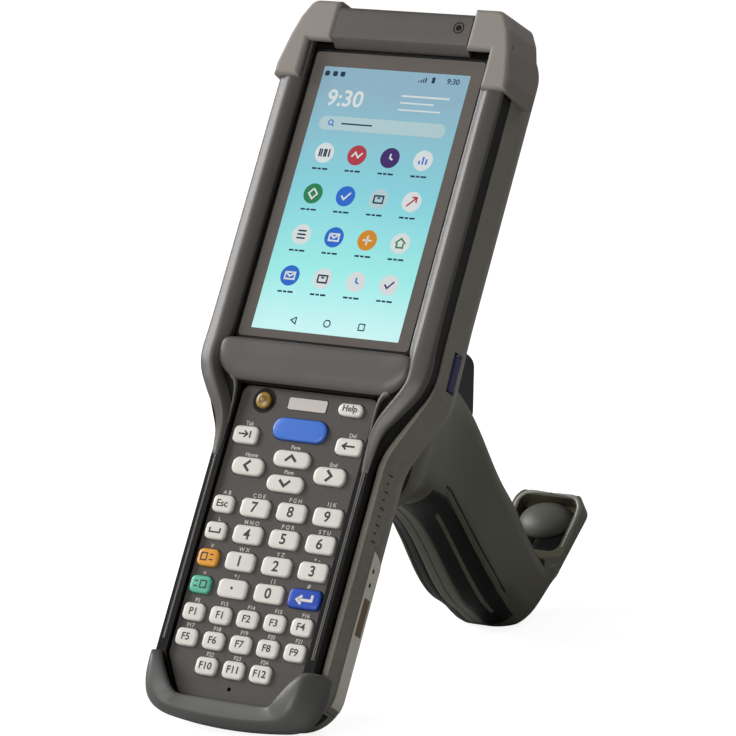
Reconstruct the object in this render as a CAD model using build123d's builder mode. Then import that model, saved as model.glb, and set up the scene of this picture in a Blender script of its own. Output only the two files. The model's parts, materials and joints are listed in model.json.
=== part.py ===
from build123d import *
import os

os.makedirs("parts", exist_ok=True)

# ------------------------------------------------------------------ driving sizes, mm
# The terminal is drawn lying on its back: X to the right, Y towards the scan end, Z out of the
# screen, with Z = 0 on the glass and Y = 0 at the bottom of the lit screen. At the end every
# piece is leaned back onto the terminal's bottom edge and the heel of the handle.
lean_angle = 60.0
rest_reach = 111.5          # from the drawing origin down to the surface it stands on

# Plan of the body
upper_half_width = 39.7
lower_half_width = 30.2
waist_flare = 0.7           # the waist stands out past the upper body
waist_half_width = upper_half_width + waist_flare
body_top = 106.5
body_bottom = -119.0
waist_start_y = 12.0
waist_high_y = -13.5
waist_low_y = -35.0
waist_start_radius = 40.0
waist_high_radius = 15.0
waist_low_radius = 18.0
top_corner_radius = 14.0
bottom_corner_radius = 13.0

# Levels through the thickness
parting_z = -4.5            # rear housing meets the inner frame
frame_top = -0.4            # top of the black inner frame
rail_top = 3.0              # side rails of the front housing
header_top = 4.0
corner_land = 2.2           # front housing under the top bumpers
back_z = -24.8
back_radius = 10.0
wall = 2.0
cavity_radius = back_radius - wall

# How far the front layers stand inside the rear housing's plan
frame_inset_upper = 1.0
frame_inset_lower = 2.4
front_inset_upper = 0.4
front_waist_bulge = 1.0

# Display
rail_width = 8.6            # side of the body to the glass
glass_half_width = upper_half_width - rail_width
glass_bottom = -3.6
glass_top = 93.0
glass_corner = 2.0
glass_thickness = 1.2
glass_gap = 0.4
module_half_width = glass_half_width - 2.5
module_bottom = -2.2
module_top = 90.0
module_thickness = 2.8

# Rails and bridge of the front housing
rail_chamfer = 0.8
well_slope = 0.4            # how far the rail's inner slope runs out over its height
header_bevel = 2.4
bridge_bottom = -17.6
bridge_crown = 2.3
bridge_half_width = upper_half_width - 6.5
bridge_low_half_width = 25.0
rail_end_high = -20.0
rail_end_low = -38.0
cutter_reach = 5.0          # how far cutting blocks run past what they cut
# keypad opening: in from the bridge's corner and down along the rails' inner side
opening_side = [(bridge_half_width, -12.5), (bridge_half_width - 2.0, -16.8), (26.8, -22.9)]
opening_half_width = 24.6
opening_low_y = -28.0

# Keypad panel
panel_half_width = 24.0
panel_top_y = -17.9
panel_bottom_y = -115.7
panel_surface = -2.0
panel_thickness = 1.2
panel_corner = 3.0
panel_gap = 0.25
panel_ledge = 0.35
panel_cut_x = panel_half_width - 7.2          # where the lobes of the bottom bumper cut the panel's corners
panel_cut_y = -104.0

# Keys
key_stand = 1.16            # key tops above the panel
key_gap = 0.22              # round a key in its window
key_lip = 0.3               # flange outside the key
key_lip_thickness = 0.6
key_lip_gap = 0.1           # flange to the panel's underside
key_travel = 0.8
key_spare = 0.15            # left between a pressed key and the mat
key_edge = 0.45
mat_thickness = 1.0
board_thickness = 1.2
mat_half_width = panel_half_width - 1.4
mat_top_y = -19.5
mat_bottom_y = -112.0

# Key rows and columns
head_row_y = -22.2
row_pitch = 8.56
number_row_y = -56.1
number_left = 10.95 - panel_half_width
number_right = panel_half_width - 1.17
number_gap = 2.64           # between number keys of one row
number_size = ((number_right - number_left - 2 * number_gap) / 3, 5.8)
number_pitch = number_size[0] + number_gap
number_x = number_left + number_size[0] / 2
shift_x = 4.65 - panel_half_width
enter_size = (number_size[0] + 1.0, 6.0)
shift_size = (7.3, 5.5)
function_row_y = -90.4
function_row_pitch = 7.95
function_right = panel_half_width - 1.2
function_gap = 2.15         # between function keys of one row
function_size = ((2 * function_right - 4 * function_gap) / 5, 5.5)
function_pitch = function_size[0] + function_gap
key_corner = 1.6
head_x = panel_half_width - 8.5         # power and auxiliary keys
edit_x = panel_half_width - 5.7         # tab and backspace
arrow_x = panel_half_width - 9.5
arrow_size = (11.2, 5.6)
up_down_size = (panel_half_width - 11.1, 5.2)
arrow_corner = 2.3
up_row_y = head_row_y - 17.4
arrow_row_y = head_row_y - 21.3
down_row_y = head_row_y - 25.3
scan_row_y = head_row_y - 8.1
edit_row_y = head_row_y - 11.5
enter_shift = 0.3
status_light_size = (13.5, 3.8)
status_light_y = head_row_y + 0.1
microphone_y = -112.1
microphone_radius = 0.65

# Bumpers
bumper_inner_x = 24.0
bumper_leg_x = glass_half_width + 1.3
bumper_lower_y = 94.5
bumper_leg_bottom = 82.0
bumper_proud = 2.8
bumper_top_proud = 2.5
bumper_top = 4.4
bumper_skirt = -12.5
bumper_draft = 1.2          # the face stands this far inside the skirt
bumper_run_in = [(0.0, 22.0), (2.0, 12.5), (4.0, 6.0), (7.3, 0.0)]   # in from the side, down from the end
bumper_corner = 4.0
bumper_round = 1.6
bumper_gap = 0.05

lobe_half_width = 30.9
lobe_top_y = -104.5
lobe_top = 3.4
lobe_slope_width = 4.6
lobe_slope_height = 7.0
lobe_inner_x = 17.0
lobe_side_length = 9.5
lobe_end_radius = 3.0
cup_corner = 8.0            # radius of the cup's lower corners, and how far in they start
cup_setback = 6.0
cup_bow_x = 9.0
cup_bow_radius = 20.0
bar_bottom = -123.2
bar_side_y = -121.0
bar_top = 0.9
bumper_floor = -8.0

# Battery
battery_top_y = -60.0
battery_bottom_y = -112.2
battery_face = -11.6
battery_slant = 6.0
battery_gap = 0.2
bay_wall = 1.6

# Scan end
window_half_width = 17.0
window_low = -17.5
window_high = -8.5
window_thickness = 1.5
engine_half_width = 14.0
engine_depth = 18.0
engine_low = -16.8

# Blocks on the main board: left, right, low, high and how far they stand off
shield_cans = [(-22, 2, 30, 62, 2.2), (8, 24, 34, 58, 1.6), (-18, 18, -4, 12, 2.8)]
display_bar_y = (64, 70)

# Side scan button
button_y = -3.8
button_length = 12.0
button_height = 4.2
button_z = back_z + back_radius + 1.9         # on the flat of the side, above where it starts to round
button_proud = 0.9
button_gap = 0.3
button_stem = 3.0
button_corner = 1.9
flange_margin = 1.0
flange_gap = 0.3            # flange to the inside of the wall
flange_thickness = 0.7

# Screws
screw_head_radius = 2.4
screw_head_height = 1.8
screw_radius = 1.2
screw_gap = 0.1
post_radius = 3.6
screw_margin = 1.0          # screw head to where the back starts to round
screw_x_upper = upper_half_width - back_radius - screw_head_radius - screw_margin
screw_y_upper = 84.0
screw_y_middle = 10.0

# Handle
neck_top_z = back_z
grip_half_width = 14.0
neck_half_width = 27.5
grip_wall = 3.0

# Trigger
pin_y = 6.5
pin_z = -36.5
pin_radius = 1.5
pin_clearance = 0.05
hub_radius = 4.0
trigger_half_width = 8.5
trigger_corner = 4.0
trigger_gap = 0.5
grip_cavity_floor = -128.0

# Handle sections of neck and grip: level, front, back, half width, corner radius
neck_sections = [
    (neck_top_z, 17.0, -46.0, neck_half_width, 12.0),
    (-38.0, 14.5, -41.0, 25.0, 12.0),
    (-56.0, 11.0, -33.5, 17.5, 11.0),
]
grip_sections = [
    (-74.0, 9.7, -32.5, grip_half_width, 11.0),
    (-101.0, -1.5, -41.2, grip_half_width, 11.0),
    (-122.0, -9.0, -47.4, grip_half_width, 11.0),
]
# Heel and toe sections fan round the inner corner: inner and outer (y, z), half width, corner radius
heel_sections = [
    ((-14.0, -133.0), (-48.6, -135.0), grip_half_width, 11.0),
    ((-18.0, -140.5), (-45.6, -146.9), grip_half_width, 9.5),
    ((-20.5, -145.5), (-37.6, -152.3), grip_half_width, 7.5),
    ((-21.5, -150.0), (-28.2, -155.8), grip_half_width, 4.0),
    ((-19.8, -154.4), (-23.6, -158.4), grip_half_width - 0.3, 2.6),
]
# Toe in profile, (y, z) with the radius at each corner
toe_profile = [
    ((-27.5, -148.0), 1.0),
    ((-24.6, -156.7), 0.5),
    ((4.3, -169.4), 2.0),
    ((6.2, -163.4), 0.8),
    ((-2.5, -161.6), 8.0),
    ((-17.6, -156.4), 6.0),
    ((-21.0, -146.0), 1.0),
]
toe_half_width = 13.2
toe_corner = 6.0
dish_start = 7.7            # from the heel end of the toe's sole
dish_rim = 2.4
dish_floor = 1.7
trigger_tip = (23.2, -73.5)
trigger_foot = (5.7, -84.6)
spring_y = 0.6
spring_z = -62.0
spring_length = 11.0
spring_gap = 0.1
spring_radius = 3.0
spring_wire = 0.45
spring_turns = 5


# ------------------------------------------------------------------ shared shapes
def body_outline(z, inset_upper=0.0, inset_lower=0.0, bulge=0.0, shrink_ends=0.0):
    """Plan of the body at one level: wide at the screen, flared in at the waist, narrow at the keypad."""
    upper = upper_half_width - inset_upper
    lower = lower_half_width - inset_lower
    right = [
        (lower, body_bottom + shrink_ends),
        (lower, waist_low_y),
        (waist_half_width - inset_upper + bulge, waist_high_y),
        (upper, waist_start_y),
        (upper, body_top - shrink_ends),
    ]
    radii = [bottom_corner_radius - shrink_ends, waist_low_radius, waist_high_radius,
             waist_start_radius, top_corner_radius - shrink_ends]
    left = [(-x, y) for x, y in reversed(right)]
    with BuildSketch(Plane.XY.offset(z)) as outline:
        with BuildLine():
            FilletPolyline(*right, *left, radius=radii + radii[::-1], close=True)
        make_face()
    return outline.sketch


def side_profile(points, half_width, mode=Mode.SUBTRACT, centre_x=0.0):
    """Prism across the body: points are (y, z), extruded both ways in X."""
    with BuildSketch(Plane.YZ.offset(centre_x)) as profile:
        with BuildLine():
            Polyline(*points, close=True)
        make_face()
    extrude(profile.sketch, amount=half_width, both=True, mode=mode)


def plan_prism(points, low, high, mode=Mode.ADD):
    """Upright prism from a list of (x, y) corners."""
    with BuildSketch(Plane.XY.offset(low)) as plan:
        with BuildLine():
            Polyline(*points, close=True)
        make_face()
    extrude(plan.sketch, amount=high - low, mode=mode)


def block(x0, x1, y0, y1, z0, z1, mode=Mode.ADD):
    """Plain block between opposite corners."""
    with Locations(((x0 + x1) / 2, (y0 + y1) / 2, (z0 + z1) / 2)):
        Box(x1 - x0, y1 - y0, z1 - z0, mode=mode)


def mirrored(points):
    """The same corners on the other side of the middle plane, in drawing order."""
    return [(-x, y) for x, y in points]


def rear_envelope():
    """Outer form of the rear housing and battery, rounded towards the back."""
    extrude(body_outline(back_z), amount=parting_z - back_z)
    back = rear_faces(Axis.Z)
    fillet(back.edges(), back_radius)
    trim_to_floor()


def rear_faces(axis):
    """The one face that lies furthest back in the part being made."""
    return BuildPart._get_context().faces().sort_by(axis)[0]


floor_plane = Plane(
    origin=(0, 0, 0), x_dir=(1, 0, 0),
    z_dir=Vector(0, 0, 1).rotate(Axis.X, -lean_angle),
).offset(-rest_reach)


def trim_to_floor():
    """Flatten what would reach below the surface the terminal stands on."""
    split(bisect_by=floor_plane, keep=Keep.TOP)


# ------------------------------------------------------------------ rear housing and battery
bay_points = [
    (battery_bottom_y, battery_face),
    (battery_top_y, battery_face),
    (battery_top_y - battery_slant, back_z - 1),
    (battery_bottom_y, back_z - 1),
]
battery_points = [
    (battery_bottom_y + battery_gap, battery_face - battery_gap),
    (battery_top_y - battery_gap, battery_face - battery_gap),
    (battery_top_y - battery_gap - battery_slant, back_z - 1),
    (battery_bottom_y + battery_gap, back_z - 1),
]
board_top = panel_surface - panel_thickness - key_lip_gap - key_lip_thickness - key_travel - key_spare \
    - mat_thickness
board_bottom = board_top - board_thickness
screw_places = [(s * screw_x_upper, y) for s in (-1, 1) for y in (screw_y_upper, screw_y_middle)]

with BuildPart() as cavity:
    extrude(body_outline(back_z + wall, wall, wall, 0, wall), amount=parting_z - back_z - wall)
    fillet(rear_faces(Axis.Z).edges(), cavity_radius)
    split(bisect_by=Plane.XZ.offset(-(battery_top_y + bay_wall)), keep=Keep.BOTTOM)
    extrude(body_outline(battery_face + bay_wall, wall, wall, 0, wall),
            amount=parting_z - battery_face - bay_wall)

with BuildPart() as rear_housing:
    rear_envelope()
    add(cavity.part, mode=Mode.SUBTRACT)
    side_profile(bay_points, upper_half_width + wall)
    # window of the scan engine in the top wall
    block(-window_half_width, window_half_width, body_top - 3 * wall, body_top + 1,
          window_low, window_high, Mode.SUBTRACT)
    # pedestal of the scan engine
    block(-engine_half_width + wall, engine_half_width - wall, body_top - 10 * wall, body_top - 6 * wall,
          back_z + wall / 2, engine_low)
    # hole for the side scan button
    block(upper_half_width - 2 * wall, upper_half_width + 1,
          button_y - button_length / 2 - button_gap, button_y + button_length / 2 + button_gap,
          button_z - button_height / 2 - button_gap, button_z + button_height / 2 + button_gap,
          Mode.SUBTRACT)
    # screw posts that carry the main board
    with BuildSketch(Plane.XY.offset(back_z + wall / 2)):
        with Locations(*screw_places):
            Circle(post_radius)
    extrude(amount=board_bottom - back_z - wall / 2)
    with Locations(*[(x, y, back_z) for x, y in screw_places]):
        Cylinder(screw_radius + screw_gap, board_bottom - back_z, mode=Mode.SUBTRACT,
                 align=(Align.CENTER, Align.CENTER, Align.MIN))
        Cylinder(screw_head_radius + screw_gap, screw_head_height + screw_gap, mode=Mode.SUBTRACT,
                 align=(Align.CENTER, Align.CENTER, Align.MIN))
rear_housing.part.label = "rear_housing"

with BuildPart() as battery_pack:
    rear_envelope()
    side_profile(battery_points, upper_half_width + wall, Mode.INTERSECT)
battery_pack.part.label = "battery_pack"

with BuildPart() as case_screws:
    with Locations(*[(x, y, back_z + screw_gap / 2) for x, y in screw_places]):
        Cylinder(screw_head_radius, screw_head_height, align=(Align.CENTER, Align.CENTER, Align.MIN))
        Cylinder(screw_radius, board_bottom - back_z - screw_gap,
                 align=(Align.CENTER, Align.CENTER, Align.MIN))
case_screws.part.label = "case_screws"

# ------------------------------------------------------------------ inner frame
pocket_half_width = glass_half_width + glass_gap
with BuildPart() as inner_frame:
    frame_plan = body_outline(parting_z, frame_inset_upper, frame_inset_lower, 0, frame_inset_upper)
    extrude(frame_plan, amount=frame_top - parting_z)
    block(-pocket_half_width, pocket_half_width, glass_bottom - glass_gap, glass_top + glass_gap,
          -glass_thickness, frame_top + 1, Mode.SUBTRACT)
    block(-module_half_width - glass_gap, module_half_width + glass_gap, module_bottom - glass_gap,
          module_top + glass_gap, parting_z - 1, 0, Mode.SUBTRACT)
    panel_floor = panel_surface - panel_thickness
    panel_pocket = [
        (panel_half_width + panel_gap, panel_top_y + panel_gap),
        (panel_half_width + panel_gap, panel_cut_y),
        (panel_cut_x + panel_gap, panel_bottom_y - panel_gap),
    ]
    plan_prism(panel_pocket + mirrored(panel_pocket)[::-1], panel_floor, frame_top + 1, Mode.SUBTRACT)
    ledge = [(x - panel_gap - panel_ledge, y) for x, y in panel_pocket]
    ledge[0] = (ledge[0][0], panel_top_y - 3 * panel_ledge)
    ledge[2] = (ledge[2][0], panel_bottom_y + 3 * panel_ledge)
    plan_prism(ledge + mirrored(ledge)[::-1], parting_z - 1, frame_top + 1, Mode.SUBTRACT)
inner_frame.part.label = "inner_frame"

# ------------------------------------------------------------------ front housing
with BuildPart() as front_housing:
    rail_plan = body_outline(frame_top, front_inset_upper, frame_inset_lower, front_waist_bulge,
                             front_inset_upper)
    extrude(rail_plan, amount=rail_top - frame_top)
    top_face = front_housing.faces().sort_by(Axis.Z)[-1]
    chamfer(top_face.outer_wire().edges(), rail_chamfer)
    split(bisect_by=Plane.XZ.offset(-rail_end_low), keep=Keep.BOTTOM)
    # header between the top bumpers
    block(-bumper_inner_x, bumper_inner_x, glass_top + glass_gap,
          body_top - front_inset_upper - rail_chamfer, rail_top - 0.5, header_top)
    header_edge = front_housing.edges().filter_by(Axis.X).group_by(Axis.Z)[-1].sort_by(Axis.Y)[-1]
    chamfer(header_edge, 0.8)
    # display well: sloped rails at the sides, a bevel under the header
    with BuildSketch(Plane.XZ.offset(-(glass_bottom - glass_gap))):
        with BuildLine():
            well_side = [(pocket_half_width, frame_top - 1), (pocket_half_width, 0),
                         (pocket_half_width + well_slope, rail_top),
                         (pocket_half_width + well_slope, header_top + 1)]
            Polyline(*well_side, *[(-x, z) for x, z in well_side[::-1]], close=True)
        make_face()
    extrude(amount=-(glass_top + glass_gap - glass_bottom + glass_gap), mode=Mode.SUBTRACT)
    header_edge_y = glass_top + glass_gap
    side_profile([(header_edge_y - 1, frame_top - 1), (header_edge_y, frame_top - 1), (header_edge_y, 0),
                  (header_edge_y + header_bevel, header_top + 0.01),
                  (header_edge_y + header_bevel, header_top + 1), (header_edge_y - 1, header_top + 1)],
                 bumper_leg_x)
    # lower land under the bumpers
    for side in (-1, 1):
        beside, beyond = upper_half_width + cutter_reach, body_top + cutter_reach
        land = [(bumper_inner_x, beyond), (bumper_inner_x, bumper_lower_y),
                (bumper_leg_x, bumper_lower_y), (bumper_leg_x, bumper_leg_bottom),
                (beside, bumper_leg_bottom), (beside, beyond)]
        plan_prism([(side * x, y) for x, y in land], corner_land, header_top + 1, Mode.SUBTRACT)
    # rounded bridge between screen and keypad
    with BuildSketch(Plane.YZ):
        with BuildLine():
            bridge_top_y = glass_bottom - glass_gap
            rise = Line((bridge_top_y + 0.01, header_top), (bridge_top_y + 0.01, bridge_crown - 0.7))
            lip = Line(rise @ 1, (bridge_top_y - 0.8, bridge_crown))
            crown = ThreePointArc(lip @ 1, (bridge_top_y - 8.0, bridge_crown - 0.75),
                                  (bridge_bottom, frame_top))
            fall = Line(crown @ 1, (bridge_bottom - 1, header_top))
            Line(fall @ 1, rise @ 0)
        make_face()
    extrude(amount=bridge_half_width, both=True, mode=Mode.SUBTRACT)
    # keypad opening and the hollows beside the bridge
    opening = [(bridge_low_half_width, bridge_bottom), *opening_side,
               (opening_half_width, opening_low_y), (opening_half_width, rail_end_low - 1)]
    plan_prism(opening + mirrored(opening)[::-1], frame_top - 1, header_top + 1, Mode.SUBTRACT)
    # rails run out to nothing beside the keypad
    side_profile([(rail_end_high, rail_top + 0.1), (rail_end_low, frame_top),
                  (rail_end_low - cutter_reach, frame_top), (rail_end_low - cutter_reach, rail_top + 1),
                  (rail_end_high, rail_top + 1)], upper_half_width + cutter_reach)
front_housing.part.label = "front_housing"

# ------------------------------------------------------------------ display
with BuildPart() as display_glass:
    with BuildSketch(Plane.XY.offset(-glass_thickness)):
        with Locations((0, (glass_bottom + glass_top) / 2)):
            RectangleRounded(2 * glass_half_width, glass_top - glass_bottom, glass_corner)
    extrude(amount=glass_thickness)
display_glass.part.label = "display_glass"

with BuildPart() as display_module:
    block(-module_half_width, module_half_width, module_bottom, module_top,
          -glass_thickness - module_thickness, -glass_thickness)
display_module.part.label = "display_module"

# ------------------------------------------------------------------ keys
# name: (x, y, width, height, corner radius)
column_x = [number_x + i * number_pitch for i in range(3)]
number_rows = [number_row_y - i * row_pitch for i in range(4)]
function_rows = [function_row_y - i * function_row_pitch for i in range(3)]
keys = {
    "key_power": (-head_x, head_row_y, 5.2, 5.2, 2.55),
    "key_aux": (head_x, head_row_y, 8.7, 4.0, 1.9),
    "key_scan": (0, scan_row_y, 19.0, 7.0, 3.4),
    "key_tab": (-edit_x, edit_row_y, 8.8, 5.6, key_corner),
    "key_backspace": (edit_x, edit_row_y, 9.3, 5.4, key_corner),
    "key_up": (0, up_row_y, *up_down_size, arrow_corner),
    "key_down": (0, down_row_y, *up_down_size, arrow_corner),
    "key_left": (-arrow_x, arrow_row_y, *arrow_size, arrow_corner),
    "key_right": (arrow_x, arrow_row_y, *arrow_size, arrow_corner),
}
for row, name in zip(number_rows, ["esc", "space", "orange", "green"]):
    keys["key_" + name] = (shift_x, row, *shift_size, key_corner)
for row, names in zip(number_rows, ["789", "456", "123", ".0"]):
    for x, name in zip(column_x, names):
        keys["key_" + name.replace(".", "point")] = (x, row, *number_size, key_corner)
keys["key_enter"] = (column_x[2] - enter_shift, number_rows[3], *enter_size, key_corner)
for row, names in zip(function_rows, [["p1", "f1", "f2", "f3", "f4"], ["f5", "f6", "f7", "f8", "f9"],
                                      ["f10", "f11", "f12"]]):
    for i, name in enumerate(names):
        x = (i - (len(names) - 1) / 2) * function_pitch
        keys["key_" + name] = (x, row, *function_size, key_corner)

key_top = panel_surface + key_stand
lip_top = panel_surface - panel_thickness - key_lip_gap
lip_bottom = lip_top - key_lip_thickness


def key_plan(z, x, y, width, height, corner, grow=0.0):
    """Rounded outline of a key, grown evenly by a margin."""
    with BuildSketch(Plane.XY.offset(z)) as plan:
        with Locations((x, y)):
            RectangleRounded(width + 2 * grow, height + 2 * grow, corner + grow)
    return plan.sketch


key_parts = []
for name, (x, y, width, height, corner) in keys.items():
    with BuildPart() as key:
        extrude(key_plan(lip_bottom, x, y, width, height, corner), amount=key_top - lip_bottom)
        fillet(key.faces().sort_by(Axis.Z)[-1].edges(), key_edge)
        extrude(key_plan(lip_bottom, x, y, width, height, corner, key_lip), amount=key_lip_thickness)
    key.part.label = name
    key_parts.append(key)

# ------------------------------------------------------------------ keypad panel and what lies below it
with BuildPart() as keypad_panel:
    panel_edge = [(panel_half_width, panel_top_y), (panel_half_width, panel_cut_y),
                  (panel_cut_x, panel_bottom_y)]
    panel_radii = [panel_corner, 2.0, 2.0]
    with BuildSketch(Plane.XY.offset(panel_surface - panel_thickness)):
        with BuildLine():
            FilletPolyline(*panel_edge, *mirrored(panel_edge)[::-1], close=True,
                           radius=panel_radii + panel_radii[::-1])
        make_face()
        for x, y, width, height, corner in keys.values():
            with Locations((x, y)):
                RectangleRounded(width + 2 * key_gap, height + 2 * key_gap, corner + key_gap,
                                 mode=Mode.SUBTRACT)
        with Locations((0, status_light_y)):
            RectangleRounded(status_light_size[0] + 2 * key_gap, status_light_size[1] + 2 * key_gap, 0.8,
                             mode=Mode.SUBTRACT)
        with Locations((0, microphone_y)):
            Circle(microphone_radius, mode=Mode.SUBTRACT)
    extrude(amount=panel_thickness)
keypad_panel.part.label = "keypad_panel"

with BuildPart() as status_light:
    extrude(key_plan(lip_top, 0, status_light_y, *status_light_size, 0.6),
            amount=panel_surface + 0.2 - lip_top)
    extrude(key_plan(lip_top, 0, status_light_y, *status_light_size, 0.6, key_lip), amount=key_lip_gap)
status_light.part.label = "status_light"

with BuildPart() as key_mat:
    with BuildSketch(Plane.XY.offset(board_top)):
        with Locations((0, (mat_top_y + mat_bottom_y) / 2)):
            RectangleRounded(2 * mat_half_width, mat_top_y - mat_bottom_y, 3.0)
    extrude(amount=mat_thickness)
key_mat.part.label = "key_mat"

board_edge = [
    (lower_half_width - 2 * wall, body_bottom + 4 * wall),
    (lower_half_width - 2 * wall, waist_low_y - wall),
    (upper_half_width - 2 * wall, waist_high_y - wall),
    (upper_half_width - 2 * wall, module_top - wall / 2),
]
with BuildPart() as main_board:
    plan_prism(board_edge + mirrored(board_edge)[::-1], board_bottom, board_top)
    with Locations(*[(x, y, board_bottom) for x, y in screw_places]):
        Cylinder(screw_radius + screw_gap, 3 * board_thickness, mode=Mode.SUBTRACT)
    # shield cans and connectors on both faces
    for x0, x1, y0, y1, height in shield_cans:
        block(x0, x1, y0, y1, board_bottom - height, board_bottom)
    block(-module_half_width, module_half_width, *display_bar_y, board_top,
          -glass_thickness - module_thickness)
main_board.part.label = "main_board"

# ------------------------------------------------------------------ bumpers
with BuildPart() as bumper_core:
    extrude(body_outline(bumper_skirt - 1, -bumper_gap, -bumper_gap), amount=corner_land + bumper_gap
            - bumper_skirt + 1)


def top_bumper(side):
    """L-shaped cap over one top corner, wrapping the face, the end and the side."""
    outer_x = upper_half_width + bumper_proud
    outer_y = body_top + bumper_top_proud
    with BuildPart() as cap:
        levels = []
        for z, inset in ((bumper_skirt, 0.0), (bumper_top, bumper_draft)):
            edge = [(outer_x - inset, bumper_leg_bottom)]
            edge += [(outer_x - inset - run_x, outer_y - inset - run_y) for run_x, run_y in bumper_run_in]
            edge += [(bumper_inner_x, outer_y - inset), (bumper_inner_x, bumper_leg_bottom)]
            with BuildSketch(Plane.XY.offset(z)) as level:
                with BuildLine():
                    Polyline(*[(side * x, y) for x, y in edge], close=True)
                make_face()
            levels.append(level.sketch)
        loft(levels, ruled=True)
        inside_leg = [(bumper_inner_x - cutter_reach, bumper_leg_bottom - cutter_reach),
                      (bumper_leg_x, bumper_leg_bottom - cutter_reach), (bumper_leg_x, bumper_lower_y),
                      (bumper_inner_x - cutter_reach, bumper_lower_y)]
        plan_prism([(side * x, y) for x, y in inside_leg], bumper_skirt - 1, bumper_top + 1, Mode.SUBTRACT)
        rising = [e for e in cap.edges() if abs(e.tangent_at(0.5).Z) > 0.5]
        outer = [e for e in rising if abs(e.center().X) > bumper_leg_x + 1
                 and e.center().Y > bumper_lower_y]
        fillet(outer, bumper_corner)
        fillet(cap.faces().sort_by(Axis.Z)[-1].outer_wire().edges(), bumper_round)
        add(bumper_core.part, mode=Mode.SUBTRACT)
    return cap


top_left_bumper = top_bumper(-1)
top_left_bumper.part.label = "top_left_bumper"
top_right_bumper = top_bumper(1)
top_right_bumper.part.label = "top_right_bumper"

def cup_outline(z, inset):
    """Plan of the bottom bumper: straight sides, two corners, and a bowed end."""
    edge = [
        (lobe_half_width - inset, lobe_top_y - 0.4 * inset),
        (lobe_half_width - inset, lobe_top_y - lobe_side_length),
        (lobe_half_width - cup_setback - 0.7 * inset, bar_side_y + 0.7 * inset),
        (cup_bow_x, bar_bottom + 0.7 * inset),
    ]
    radii = [lobe_end_radius, cup_corner, cup_corner, cup_bow_radius]
    with BuildSketch(Plane.XY.offset(z)) as plan:
        with BuildLine():
            FilletPolyline(*edge, *mirrored(edge)[::-1], close=True, radius=radii + radii[::-1])
        make_face()
    return plan.sketch


with BuildPart() as bottom_bumper:
    slope_start = lobe_top - lobe_slope_height
    extrude(cup_outline(bumper_floor, 0), amount=slope_start - bumper_floor)
    loft([cup_outline(slope_start, 0), cup_outline(lobe_top - 1.2, lobe_slope_width * 0.6),
          cup_outline(lobe_top, lobe_slope_width)], ruled=True)
    # the bar between the lobes lies lower
    notch_x = panel_half_width - 2.5
    bar_notch = [(lobe_inner_x, bar_bottom - cutter_reach), (lobe_inner_x, panel_bottom_y - 0.5),
                 (lobe_inner_x + 1.0, panel_bottom_y), (notch_x, lobe_top_y - 1),
                 (notch_x, lobe_top_y + cutter_reach)]
    plan_prism(bar_notch + mirrored(bar_notch)[::-1], bar_top, lobe_top + 1, Mode.SUBTRACT)
    # room for the body
    inside = body_outline(bumper_floor - 1, -bumper_gap, -bumper_gap, 0, -bumper_gap)
    extrude(inside, amount=parting_z - bumper_floor + 1 + bumper_gap, mode=Mode.SUBTRACT)
    frame_room = body_outline(parting_z - 1, frame_inset_upper - bumper_gap,
                              frame_inset_lower - bumper_gap, 0, frame_inset_upper - bumper_gap)
    extrude(frame_room, amount=frame_top - parting_z + 1 + bumper_gap, mode=Mode.SUBTRACT)
    panel_room = [
        (panel_half_width + panel_gap, lobe_top_y + cutter_reach),
        (panel_half_width + panel_gap, panel_cut_y),
        (panel_cut_x + panel_gap, panel_bottom_y - panel_gap),
    ]
    plan_prism(panel_room + mirrored(panel_room)[::-1], parting_z, lobe_top + 1, Mode.SUBTRACT)
bottom_bumper.part.label = "bottom_bumper"

# ------------------------------------------------------------------ scan end and side button
with BuildPart() as scan_window:
    block(-window_half_width + panel_gap, window_half_width - panel_gap, body_top - wall, body_top - wall
          + window_thickness, window_low + panel_gap, window_high - panel_gap)
scan_window.part.label = "scan_window"

with BuildPart() as scan_engine:
    engine_front = body_top - wall - panel_gap
    block(-engine_half_width, engine_half_width, engine_front - engine_depth, engine_front,
          engine_low, window_high - 2 * panel_gap)
    with Locations(Plane(origin=(-5.5, engine_front, (window_low + window_high) / 2), z_dir=(0, 1, 0))):
        Hole(3.2, depth=2.0)
    with Locations(Plane(origin=(5.5, engine_front, (window_low + window_high) / 2), z_dir=(0, 1, 0))):
        Hole(2.4, depth=2.0)
scan_engine.part.label = "scan_engine"

with BuildPart() as right_scan_button:
    button_face = upper_half_width + button_proud
    with BuildSketch(Plane.YZ.offset(upper_half_width - wall)):
        with Locations((button_y, button_z)):
            RectangleRounded(button_length, button_height, button_corner)
    extrude(amount=button_face - upper_half_width + wall)
    fillet(right_scan_button.faces().sort_by(Axis.X)[-1].edges(), 0.7)
    with BuildSketch(Plane.YZ.offset(upper_half_width - wall - flange_gap - flange_thickness)):
        with Locations((button_y, button_z)):
            Rectangle(button_length + 2 * flange_margin, button_height + 2 * flange_margin)
    extrude(amount=flange_thickness)
    with BuildSketch(Plane.YZ.offset(upper_half_width - wall - button_stem)):
        with Locations((button_y, button_z)):
            Rectangle(4.0, 2.5)
    extrude(amount=button_stem)
right_scan_button.part.label = "right_scan_button"

# ------------------------------------------------------------------ handle
def grip_section(z, front, back, half_width, corner, inset=0.0):
    """Rounded-rectangle section of neck or grip at one level."""
    with BuildSketch(Plane.XY.offset(z)) as section:
        with Locations((0, (front + back) / 2)):
            RectangleRounded(2 * (half_width - inset), front - back - 2 * inset, corner - inset)
    return section.sketch


def heel_section(inner, outer, half_width, corner):
    """Rounded-rectangle section across the heel or toe, between its inner and outer points."""
    inside, outside = Vector(0, *inner), Vector(0, *outer)
    across = outside - inside
    plane = Plane(origin=(inside + outside) / 2, x_dir=(1, 0, 0), z_dir=Vector(1, 0, 0).cross(across))
    with BuildSketch(plane) as section:
        RectangleRounded(2 * half_width, across.length, corner)
    return section.sketch


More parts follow.
